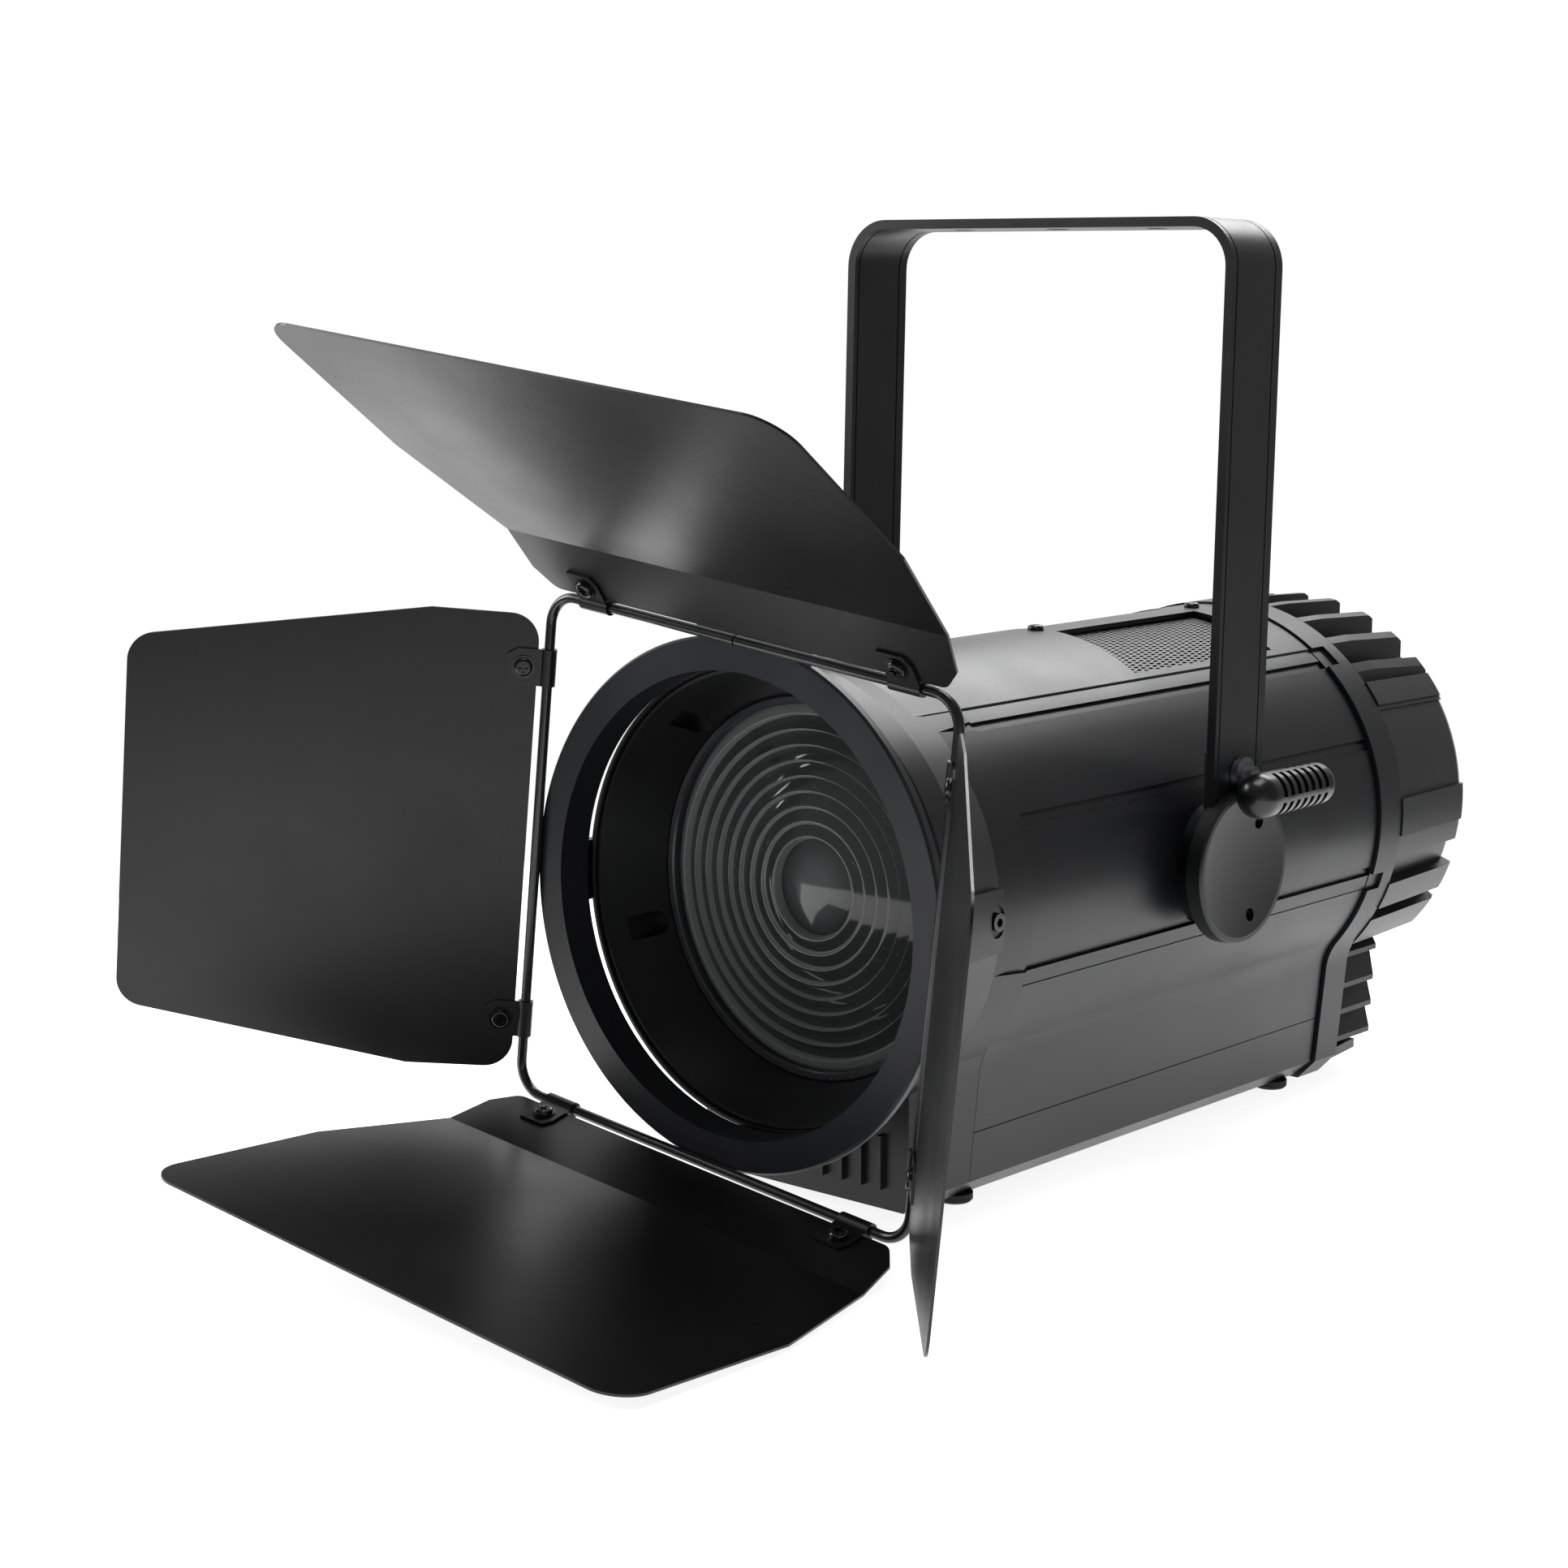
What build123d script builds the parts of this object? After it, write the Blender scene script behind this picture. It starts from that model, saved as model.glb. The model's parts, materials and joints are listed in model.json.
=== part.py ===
from build123d import *
import math
import os

# Studio fresnel spotlight with rotating barn doors and a tilting yoke.
# Millimetres, +Z up. The lens looks along -Y. The origin is the centre of the
# accessory seat: the plane on the optical axis where the barn-door ring rests.

# ---- driving dimensions -------------------------------------------------
HOUSING_R = 107.5          # outer radius of the extruded casing
WALL = 2.5                 # casing wall
BOX_TOP_HALF = 78.0        # half width of the lower box where it leaves the round part
BOX_LOW_HALF = 71.0        # half width of the lower box near the bottom
BOX_TOP_Z = -68.0
BOX_LOW_Z = -138.0
BOTTOM_HALF = 61.0
BOTTOM_Z = -147.0
TRAY_Z = -113.0            # joint between the casing and the base tray
COVER_EDGE_DEG = 54.5      # the top cover spans between its two long edges
LIP_Y = 19.5               # front edge of the front cover
SEAM_Y = 89.0              # joint between front cover and casing
CASING_END_Y = 391.6
FRAME_Y = 393.0            # rear frame, front edge
FRAME_END_Y = 414.0
REAR_END_Y = 487.0
LOWER_REAR_Y = 455.0
LENS_Y = 56.0              # crest plane of the lens steps
PIVOT_Y = 236.0            # tilt axis, on the optical axis height
YOKE_TILT = 1.6            # the yoke leans back a little at rest
YOKE_HALF = 120.0
YOKE_T = 4.8
YOKE_WIDTH = 42.6
YOKE_TOP = 315.0
DOOR_TURN = 6.45           # rest turn of the barn-door ring about the optical axis
BAR_HALF = 125.0           # half the side of the square hinge frame, wire centres
BAR_R = 2.5
BAR_Y = -5.0
RING_OUTER = 126.0
RING_INNER = 110.0
COLLAR_Y = 15.8            # rear edge of the collar inside the ring
LEAF_T = 1.2
FOOT_Z = -151.5
FEET_GRID = (112, 278)     # spacing of the four feet along X and Y, centred on the tilt axis
CAP_SCREWS = ((13.6, 21.1), (8.4, -24.7))      # measured from the tilt axis: across the strap, along the strap
# accessory brackets: angle about the optical axis, rear end of the pad, screw position
BRACKETS = ((0, 61.0, 54.0), (90, 48.0, 41.0), (180, 61.0, 54.0), (270, 48.0, 41.0))

os.makedirs("parts", exist_ok=True)


def save(piece, name):
    piece.part.label = name
    export_step(piece.part, "parts/" + name + ".step")


def section_at(y):
    """Cross-section plane: local x is +X, local y is +Z."""
    return Plane.XZ.offset(-y)


def arc_band(r_in, r_out, start, span):
    """Flat ring segment about the sketch origin."""
    with BuildSketch() as band:
        with BuildLine():
            outer = CenterArc((0, 0), r_out, start, span)
            inner = CenterArc((0, 0), r_in, start, span)
            Line(outer @ 0, inner @ 0)
            Line(outer @ 1, inner @ 1)
        make_face()
    return band.sketch


def box_outline(inset):
    """Corner points of the lower box, drawn inwards by inset."""
    right = [
        (BOX_TOP_HALF - inset, BOX_TOP_Z),
        (BOX_LOW_HALF - inset, BOX_LOW_Z),
        (BOTTOM_HALF - 0.6 * inset, BOTTOM_Z + inset),
    ]
    left = [(-x, z) for x, z in reversed(right)]
    return right + left


def body_outline(inset):
    """Keyhole outline of the casing: round top, tapering box below."""
    with BuildSketch() as outline:
        Circle(HOUSING_R - inset)
        Polygon(*box_outline(inset), align=None)
        waist = outline.vertices().filter_by(lambda v: -90 < v.Y < -60)
        fillet(waist, radius=30)
    return outline.sketch


def around_y(points):
    """Closed profile of (radius, y) points for a revolve about the optical axis."""
    with BuildSketch() as profile:
        Polygon(*points, align=None)
    return profile.sketch


def polar(r, deg):
    return (r * math.cos(math.radians(deg)), r * math.sin(math.radians(deg)))


def spoke_plane(angle, y):
    """Plane whose normal points away from the optical axis at the given angle; local x is +Y."""
    return Plane(origin=(0, y, 0), x_dir=(0, 1, 0), z_dir=(polar(1, angle)[0], 0, polar(1, angle)[1]))


def half_plane(angle):
    """Half plane through the optical axis: local x is the radius, local y is +Y."""
    return Plane(
        origin=(0, 0, 0),
        x_dir=(polar(1, angle)[0], 0, polar(1, angle)[1]),
        z_dir=(-polar(1, angle)[1], 0, polar(1, angle)[0]),
    )


BACKWARD = Axis((0, 0, 0), (0, -1, 0))   # wedges are revolved about this axis, from a half plane


shell_outline = body_outline(0)
shell_inside = body_outline(WALL)
cover_z = polar(HOUSING_R, COVER_EDGE_DEG)[1] - 0.4
cover_gap = arc_band(60, 130, COVER_EDGE_DEG - 0.2, 180.4 - 2 * COVER_EDGE_DEG)

# ---- casing --------------------------------------------------------------
with BuildPart() as side_casings:
    with BuildSketch(section_at(SEAM_Y + 0.3)):
        add(shell_outline)
        add(shell_inside, mode=Mode.SUBTRACT)
        add(cover_gap, mode=Mode.SUBTRACT)
        with Locations((0, TRAY_Z - 30)):
            Rectangle(260, 60, mode=Mode.SUBTRACT)
    extrude(amount=-(CASING_END_Y - SEAM_Y - 0.3))
    # long styling channels, the same on both sides
    with BuildSketch(section_at(SEAM_Y - 1)):
        for side in (0, 1):
            for r_in, low, span in (
                (HOUSING_R - 1.7, 47.3, 2.9),
                (HOUSING_R - 1.0, 20.5, 2.7),
                (HOUSING_R - 2.0, 22.8, 0.9),
                (HOUSING_R - 1.9, -16.2, 2.7),
                (HOUSING_R - 0.5, -20.7, 0.4),
            ):
                start = low if side == 0 else 180 - low - span
                add(arc_band(r_in, HOUSING_R + 2, start, span))
    extrude(amount=-(CASING_END_Y - SEAM_Y + 2), mode=Mode.SUBTRACT)
    # round seats for the pivot hubs
    with BuildSketch(Plane.YZ.offset(-140)):
        with Locations((PIVOT_Y, 0)):
            Circle(30.1)
    extrude(amount=280, mode=Mode.SUBTRACT)
save(side_casings, "side_casings")

with BuildPart() as base_tray:
    with BuildSketch(section_at(SEAM_Y + 0.3)):
        add(shell_outline)
        add(shell_inside, mode=Mode.SUBTRACT)
        with Locations((0, TRAY_Z - 0.5 + 120)):
            Rectangle(260, 240, mode=Mode.SUBTRACT)
    extrude(amount=-(CASING_END_Y - SEAM_Y - 0.3))
    # screw holes of the four feet
    with BuildSketch(Plane.XY.offset(BOTTOM_Z - 1)):
        with Locations((0, PIVOT_Y)):
            with GridLocations(*FEET_GRID, 2, 2):
                Circle(2.1)
    extrude(amount=6, mode=Mode.SUBTRACT)
save(base_tray, "base_tray")

# ---- front cover -----------------------------------------------------------
FLARE_R = 112.5
with BuildPart() as front_cover:
    with BuildSketch(Plane.XY):
        add(around_y([
            (HOUSING_R, SEAM_Y), (HOUSING_R + 1, SEAM_Y - 1), (HOUSING_R + 1, 62), (FLARE_R, 36),
            (FLARE_R, LIP_Y + 1), (FLARE_R - 1, LIP_Y), (FLARE_R - 2.5, LIP_Y),
            (FLARE_R - 3, LIP_Y + 1), (FLARE_R - 3, 34), (HOUSING_R - 2.5, 60),
            (HOUSING_R - 2.5, SEAM_Y),
        ]))
    revolve(axis=Axis.Y)
    # the lower box runs forward under the round part and is closed at the front
    with BuildSketch(section_at(52)):
        add(shell_outline)
        with Locations((0, -40 + 120)):
            Rectangle(260, 240, mode=Mode.SUBTRACT)
    extrude(amount=-(SEAM_Y - 52))
    with BuildSketch(section_at(55)):
        add(shell_inside)
    extrude(amount=-(SEAM_Y - 54), mode=Mode.SUBTRACT)
    with BuildSketch(Plane.XY):
        add(around_y([
            (0, 50), (FLARE_R - 3 - 16 * 4.5 / 26, 50), (HOUSING_R - 2.5, 60), (HOUSING_R - 2.5, SEAM_Y + 1),
            (0, SEAM_Y + 1),
        ]))
    revolve(axis=Axis.Y, mode=Mode.SUBTRACT)
    # corner bevels of the closed front and of the sill
    with BuildSketch(Plane.XY.offset(BOTTOM_Z - 5)):
        for sign in (1, -1):
            Polygon((sign * 62, 50), (sign * 90, 50), (sign * 90, 78), align=None)
    extrude(amount=BOX_TOP_Z - BOTTOM_Z - 2, mode=Mode.SUBTRACT)
    # vertical ribs on the closed front
    with BuildSketch(section_at(52)):
        with Locations((0, -124)):
            with GridLocations(12, 0, 9, 1):
                Rectangle(3, 26)
    extrude(amount=3)
    # top strip is covered by the top cover
    with BuildSketch(section_at(53.5)):
        add(cover_gap)
    extrude(amount=-60, mode=Mode.SUBTRACT)
    # tapering ends of the long channels
    for side in (1, -1):
        for angle, half in ((48.8, 1.6), (-14.9, 1.5)):
            tip = Plane(
                origin=(side * polar(HOUSING_R + 1, angle)[0], SEAM_Y, polar(HOUSING_R + 1, angle)[1]),
                x_dir=(0, -1, 0),
                z_dir=(side * polar(1, angle)[0], 0, polar(1, angle)[1]),
            )
            with BuildSketch(tip.offset(-1.8)):
                Polygon((-1, -half * 1.9), (27, 0), (-1, half * 1.9), align=None)
            extrude(amount=6, mode=Mode.SUBTRACT)
    # bracket screw holes around the flare
    for angle, rear, screw_y in BRACKETS:
        with BuildSketch(spoke_plane(angle, screw_y).offset(95)):
            Circle(2.6)
        extrude(amount=25, mode=Mode.SUBTRACT)
save(front_cover, "front_cover")

# ---- top cover with two vent windows -----------------------------------------
COVER_R = HOUSING_R + 0.9
with BuildPart() as top_cover:
    with BuildSketch(section_at(54)):
        add(arc_band(HOUSING_R - 1.6, COVER_R, COVER_EDGE_DEG, 180 - 2 * COVER_EDGE_DEG))
    extrude(amount=-(CASING_END_Y - 54))
    # stiffening arches that also back up the screws
    for y in (90, 230.7, 371.6):
        with BuildSketch(section_at(y - 3)):
            add(arc_band(HOUSING_R - 6, HOUSING_R - 1.5, 60, 60))
        extrude(amount=-6)
    # light bevel along both outer edges of the cover
    long_edges = top_cover.edges().filter_by(Axis.Y).filter_by(
        lambda e: e.length > 200 and math.hypot(e.center().X, e.center().Z) > HOUSING_R
    )
    chamfer(long_edges, length=0.7)
    # two vent windows and the screw holes
    for start in (57.0, 95.0):
        with BuildSketch(section_at(235)):
            add(arc_band(HOUSING_R - 1.7, HOUSING_R + 6, start, 28))
        extrude(amount=-125, mode=Mode.SUBTRACT)
    with BuildSketch(Plane.XY.offset(100)):
        with Locations((0, 90), (0, 230.7), (0, 371.6)):
            Circle(2.2)
    extrude(amount=12, mode=Mode.SUBTRACT)
save(top_cover, "top_cover")

with BuildPart() as vent_mesh:
    for start in (55.6, 93.6):
        with BuildSketch(section_at(234.2)):
            add(arc_band(HOUSING_R - 2.8, HOUSING_R - 1.8, start, 30.8))
        extrude(amount=-128)
save(vent_mesh, "vent_mesh")

with BuildPart() as top_screws:
    with Locations((0, 90), (0, 230.7), (0, 371.6)):
        with Locations((0, 0, COVER_R)):
            Cylinder(4.2, 2.6, align=(Align.CENTER, Align.CENTER, Align.MIN))
        with Locations((0, 0, 99)):
            Cylinder(1.85, COVER_R - 98, align=(Align.CENTER, Align.CENTER, Align.MIN))
    rims = top_screws.edges().filter_by(GeomType.CIRCLE).group_by(Axis.Z)[-1]
    fillet(rims, radius=1.6)
    with BuildSketch(Plane.XY.offset(COVER_R + 3)):
        with Locations((0, 90), (0, 230.7), (0, 371.6)):
            Rectangle(4.6, 0.9)
            Rectangle(0.9, 4.6)
    extrude(amount=-1.9, mode=Mode.SUBTRACT)
save(top_screws, "top_screws")

# ---- lens group ----------------------------------------------------------------
BAFFLE_FRONT_R = FLARE_R - 3.5
with BuildPart() as lens_baffle:
    with BuildSketch(Plane.XY):
        add(around_y([
            (BAFFLE_FRONT_R, LIP_Y + 2), (BAFFLE_FRONT_R, 33.5), (104.4, 60), (104.4, 72), (86, 72),
            (86, 69), (93, 69), (93, 54), (BAFFLE_FRONT_R - 1.6, LIP_Y + 2),
        ]))
    revolve(axis=Axis.Y)
    # oval windows that give access to the bracket screws
    for angle in (50, 130, 197):
        with BuildSketch(spoke_plane(angle, 38).offset(90)):
            SlotOverall(28, 12)
        extrude(amount=12.5, mode=Mode.SUBTRACT)
    # clearance for the bracket screws
    for angle, rear, screw_y in BRACKETS:
        with BuildSketch(spoke_plane(angle, screw_y).offset(103)):
            Circle(4.0)
        extrude(amount=12, mode=Mode.SUBTRACT)
save(lens_baffle, "lens_baffle")

RING_PITCH = 7.4
BULL_R = 23.3
lens_top = [(0, LENS_Y + 2.6)]
for k in range(1, 7):
    r = BULL_R * k / 6
    lens_top.append((r, LENS_Y + 2.6 + r * r / 190))
r = BULL_R
while r + RING_PITCH < 91.5:
    slope = (r + RING_PITCH / 2) / 150
    lens_top.append((r + 0.15, LENS_Y + 0.6))
    lens_top.append((r + RING_PITCH, LENS_Y + 0.6 + RING_PITCH * slope))
    r += RING_PITCH
with BuildPart() as lens:
    with BuildSketch(Plane.XY):
        Polygon(*lens_top, (92, LENS_Y + 5.2), (92, LENS_Y + 9), (0, LENS_Y + 9), align=None)
    revolve(axis=Axis.Y)
save(lens, "lens")

with BuildPart() as lens_seal:
    with BuildSketch(Plane.XY):
        Polygon((87, 65.3), (92.6, 65.3), (92.6, 68.7), (87, 68.7), align=None)
    revolve(axis=Axis.Y)
save(lens_seal, "lens_seal")

with BuildPart() as lens_ring:
    with BuildSketch(Plane.XY):
        Polygon(
            (88.4, 54.6), (89.2, 53.8), (91.8, 53.8), (92.7, 54.6), (92.7, 60.5), (89.6, 60.5),
            (89.6, 57.0), (88.4, 56.4), align=None,
        )
    revolve(axis=Axis.Y)
save(lens_ring, "lens_ring")

# ---- accessory brackets that carry the barn-door ring ----------------------------
SKIRT_IN = 116.0
SKIRT_OUT = 117.6


def flare(y):
    """Outer radius of the front cover behind its parallel lip."""
    return FLARE_R - (y - 36) * 4 / 26


with BuildPart() as accessory_brackets:
    for angle, rear, screw_y in BRACKETS:
        # pad outside the flare, arm going forward, fork around the skirt of the ring
        with BuildSketch(half_plane(angle - 7.5)):
            Polygon(
                (FLARE_R + 0.4, 36), (flare(rear) + 0.4, rear), (flare(rear) + 3.0, rear),
                (flare(rear) + 4.4, rear - 1.5), (FLARE_R + 3.4, 24), (122.8, 14.5), (122.8, 2.6),
                (121.4, 1.2), (118.0, 1.2), (118.0, 4.0), (119.6, 4.0), (119.6, 9.4), (115.6, 9.4),
                (115.6, 1.2), (FLARE_R + 0.4, 1.2), align=None,
            )
        revolve(axis=BACKWARD, revolution_arc=15)
    for angle, rear, screw_y in BRACKETS:
        with BuildSketch(spoke_plane(angle, screw_y).offset(107)):
            Circle(2.6)
        extrude(amount=17, mode=Mode.SUBTRACT)
        # oval recess around the screw head
        with BuildSketch(spoke_plane(angle, screw_y).offset(flare(screw_y) + 2.4)):
            SlotOverall(15, 10.4, rotation=90)
        extrude(amount=8, mode=Mode.SUBTRACT)
save(accessory_brackets, "accessory_brackets")

with BuildPart() as bracket_screws:
    for angle, rear, screw_y in BRACKETS:
        spoke = spoke_plane(angle, screw_y)
        with BuildSketch(spoke.offset(104.8)):
            Circle(2.5)
        extrude(amount=flare(screw_y) + 2.5 - 104.8)
        with BuildSketch(spoke.offset(flare(screw_y) + 2.45)):
            Circle(4.3)
            RegularPolygon(2.2, 6, mode=Mode.SUBTRACT)
        extrude(amount=2.4)
save(bracket_screws, "bracket_screws")

# ---- barn-door ring and hinge frame --------------------------------------------------
turn = math.radians(DOOR_TURN)
ALONG_X = Vector(math.cos(turn), 0, -math.sin(turn))
ALONG_Z = Vector(math.sin(turn), 0, math.cos(turn))
door_plane = Plane(origin=(0, BAR_Y, 0), x_dir=ALONG_X, z_dir=(0, -1, 0))

with BuildPart() as barndoor_ring:
    with BuildSketch(Plane.XY):
        Polygon(
            (RING_INNER, -2.5), (RING_OUTER - 1.2, -2.5), (RING_OUTER, -1.3), (RING_OUTER, 2.2),
            (RING_OUTER - 1.6, 2.2), (RING_OUTER - 1.6, -0.7), (SKIRT_OUT, -0.7), (SKIRT_OUT, 4.6),
            (SKIRT_OUT + 1.5, 5.4), (SKIRT_OUT + 1.5, 7.2), (SKIRT_IN, 7.2), (SKIRT_IN, -0.7),
            (RING_INNER + 1.2, -0.7), (RING_INNER + 1.2, COLLAR_Y), (RING_INNER, COLLAR_Y), align=None,
        )
    revolve(axis=Axis.Y)
    # upright safety tab behind the upper hinge bar
    with BuildSketch(door_plane.offset(BAR_Y + 0.7)):
        with Locations((0, 125.6)):
            Rectangle(70, 8.4)
    extrude(amount=-1.6)
save(barndoor_ring, "barndoor_ring")

with BuildPart() as barndoor_frame:
    with BuildLine(door_plane) as wire:
        Polyline(
            (-6, BAR_HALF), (BAR_HALF, BAR_HALF), (BAR_HALF, -BAR_HALF), (-BAR_HALF, -BAR_HALF),
            (-BAR_HALF, BAR_HALF), (-6.8, BAR_HALF),
        )
        corners = wire.vertices().sort_by(lambda v: v.center().dot(ALONG_X) ** 2)[-4:]
        fillet(corners, radius=15)
    with BuildSketch(Plane(origin=wire.line @ 0, z_dir=wire.line % 0)):
        Circle(BAR_R)
    sweep(path=wire.line)
save(barndoor_frame, "barndoor_frame")

# ---- barn-door leaves ------------------------------------------------------------------
# Each leaf: along = direction of its hinge bar, out = away from the optical axis.
OUT_Y = Vector(0, -1, 0)
LEAVES = {
    "top": (ALONG_Z, ALONG_X, 38.0, 95.0),
    "bottom": (ALONG_Z * -1, ALONG_X, 75.0, 95.0),
    "left": (ALONG_X * -1, ALONG_Z, 46.0, 88.5),
    "right": (ALONG_X, ALONG_Z, 49.4, 88.5),
}
BEND = 17.0
BEND_AT = 40.0


def leaf_plane(out, along, angle, shift, lift):
    """Plane lying in a leaf: local x along the bar, local y away from the bar."""
    reach = out * math.cos(math.radians(angle)) + OUT_Y * math.sin(math.radians(angle))
    normal = along.cross(reach)
    bar = Vector(0, BAR_Y, 0) + out * BAR_HALF
    return Plane(origin=bar + reach * shift + normal * lift, x_dir=along, z_dir=normal)


for name, (out, along, angle, clip_at) in LEAVES.items():
    # the side that faces the light carries clip plates and screw heads
    face = 1 if leaf_plane(out, along, angle, 0, 0).z_dir.dot(out) < 0 else -1
    base = leaf_plane(out, along, angle, 0, 0)
    with BuildPart() as leaf:
        if name in ("top", "bottom"):
            fold = base.from_local_coords((0, BEND_AT, 0))
            with BuildSketch(base):
                Polygon((-119, 5.2), (119, 5.2), (129, 17), (133, BEND_AT), (-133, BEND_AT), (-129, 17), align=None)
                fillet(vertices().group_by(Axis.Y)[0], radius=8)
            extrude(amount=LEAF_T / 2, both=True)
            bent = leaf_plane(out, along, angle + BEND, 0, 0)
            with BuildSketch(Plane(origin=fold, x_dir=along, z_dir=bent.z_dir)):
                Polygon((-133, 0), (133, 0), (151, 69), (151, 170), (-151, 170), (-151, 69), align=None)
                fillet(vertices().group_by(Axis.Y)[-1], radius=18)
            extrude(amount=LEAF_T / 2, both=True)
            with BuildSketch(Plane(origin=base.from_local_coords((-132.9, BEND_AT, 0)), z_dir=along)):
                Circle(LEAF_T / 2)
            extrude(amount=265.8)
        else:
            with BuildSketch(base):
                Polygon((-114, 5.2), (114, 5.2), (114.5, 57), (91, 199), (-91, 199), (-114.5, 57), align=None)
                fillet(vertices().group_by(Axis.Y)[0], radius=14)
                fillet(vertices().group_by(Axis.Y)[-1], radius=14)
            extrude(amount=LEAF_T / 2, both=True)
        with BuildSketch(base):
            with Locations((clip_at, 12), (-clip_at, 12)):
                Circle(2.1)
        extrude(amount=3, both=True, mode=Mode.SUBTRACT)
    save(leaf, "leaf_" + name)
    with BuildPart() as clips:
        for u in (clip_at, -clip_at):
            start = base.from_local_coords((u - 9, 0, 0))
            with BuildSketch(Plane(origin=start, z_dir=along, x_dir=base.y_dir)):
                Circle(BAR_R + 1.3)
            extrude(amount=18)
        tab = leaf_plane(out, along, angle, 0, face * (LEAF_T / 2 + 0.05))
        with BuildSketch(tab):
            for u in (clip_at, -clip_at):
                Polygon((u - 9, 2), (u + 9, 2), (u + 9, 15), (u + 6, 20), (u - 9, 20), align=None)
        extrude(amount=face * 1.2)
        with BuildSketch(tab):
            with Locations((clip_at, 12), (-clip_at, 12)):
                Circle(2.1)
        extrude(amount=face * 3, mode=Mode.SUBTRACT)
        for u in (clip_at, -clip_at):
            start = base.from_local_coords((u - 10, 0, 0))
            with BuildSketch(Plane(origin=start, z_dir=along, x_dir=base.y_dir)):
                Circle(BAR_R + 0.05)
            extrude(amount=20, mode=Mode.SUBTRACT)
    save(clips, "clips_" + name)
    with BuildPart() as screws:
        head = leaf_plane(out, along, angle, 0, face * (LEAF_T / 2 + 1.3))
        with BuildSketch(head):
            with Locations((clip_at, 12), (-clip_at, 12)):
                Circle(4.5)
        extrude(amount=face * 2.4)
        crown = screws.edges().filter_by(GeomType.CIRCLE).filter_by(
            lambda e: abs((e.center() - head.origin).dot(head.z_dir)) > 1
        )
        fillet(crown, radius=1.5)
        with BuildSketch(head):
            with Locations((clip_at, 12), (-clip_at, 12)):
                Circle(5.6)
        extrude(amount=face * 0.6)
        with BuildSketch(head):
            with Locations((clip_at, 12), (-clip_at, 12)):
                Circle(2.0)
        extrude(amount=-face * 6.4)
        # hexagon nuts on the far side
        with BuildSketch(leaf_plane(out, along, angle, 0, -face * (LEAF_T / 2 + 0.05))):
            with Locations((clip_at, 12), (-clip_at, 12)):
                RegularPolygon(3.9, 6)
        extrude(amount=-face * 3)
        with BuildSketch(leaf_plane(out, along, angle, 0, face * (LEAF_T / 2 + 2.5))):
            with Locations((clip_at, 12), (-clip_at, 12)):
                Rectangle(5.2, 1.1)
                Rectangle(1.1, 5.2)
        extrude(amount=face * 2, mode=Mode.SUBTRACT)
    save(screws, "screws_" + name)

# ---- pivots and yoke ------------------------------------------------------------------
YOKE_IN = YOKE_HALF - YOKE_T
LEVER_Y = PIVOT_Y + 2.2
LEVER_Z = 46.4
lean = math.radians(YOKE_TILT)
yoke_side = Plane(origin=(0, PIVOT_Y, 0), x_dir=(0, math.cos(lean), -math.sin(lean)), z_dir=(1, 0, 0))
yoke_front = Plane(origin=(0, PIVOT_Y, 0), x_dir=(1, 0, 0), z_dir=(0, -math.cos(lean), math.sin(lean)))

with BuildPart() as pivot_hubs:
    for side in (1, -1):
        with Locations(Location((side * 98, PIVOT_Y, 0), (0, side * 90, 0))):
            Cylinder(30, 15, align=(Align.CENTER, Align.CENTER, Align.MIN))
        with Locations(Location((side * 93, PIVOT_Y, 0), (0, side * 90, 0))):
            Cylinder(35, 5, align=(Align.CENTER, Align.CENTER, Align.MIN))
        with Locations(Location((side * 90, PIVOT_Y, 0), (0, side * 90, 0))):
            Cylinder(6.0, 30, align=(Align.CENTER, Align.CENTER, Align.MIN), mode=Mode.SUBTRACT)
save(pivot_hubs, "pivot_hubs")

with BuildPart() as friction_washers:
    for side in (1, -1):
        with Locations(Location((side * 113.05, PIVOT_Y, 0), (0, side * 90, 0))):
            Cylinder(28, 1.95, align=(Align.CENTER, Align.CENTER, Align.MIN))
            Cylinder(6.1, 1.95, align=(Align.CENTER, Align.CENTER, Align.MIN), mode=Mode.SUBTRACT)
save(friction_washers, "friction_washers")

with BuildPart() as pivot_bolts:
    for side in (1, -1):
        with Locations(Location((side * 91, PIVOT_Y, 0), (0, side * 90, 0))):
            Cylinder(5.95, 29.3, align=(Align.CENTER, Align.CENTER, Align.MIN))
        with Locations(Location((side * 120.3, PIVOT_Y, 0), (0, side * 90, 0))):
            Cylinder(9, 1.8, align=(Align.CENTER, Align.CENTER, Align.MIN))
save(pivot_bolts, "pivot_bolts")

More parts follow.
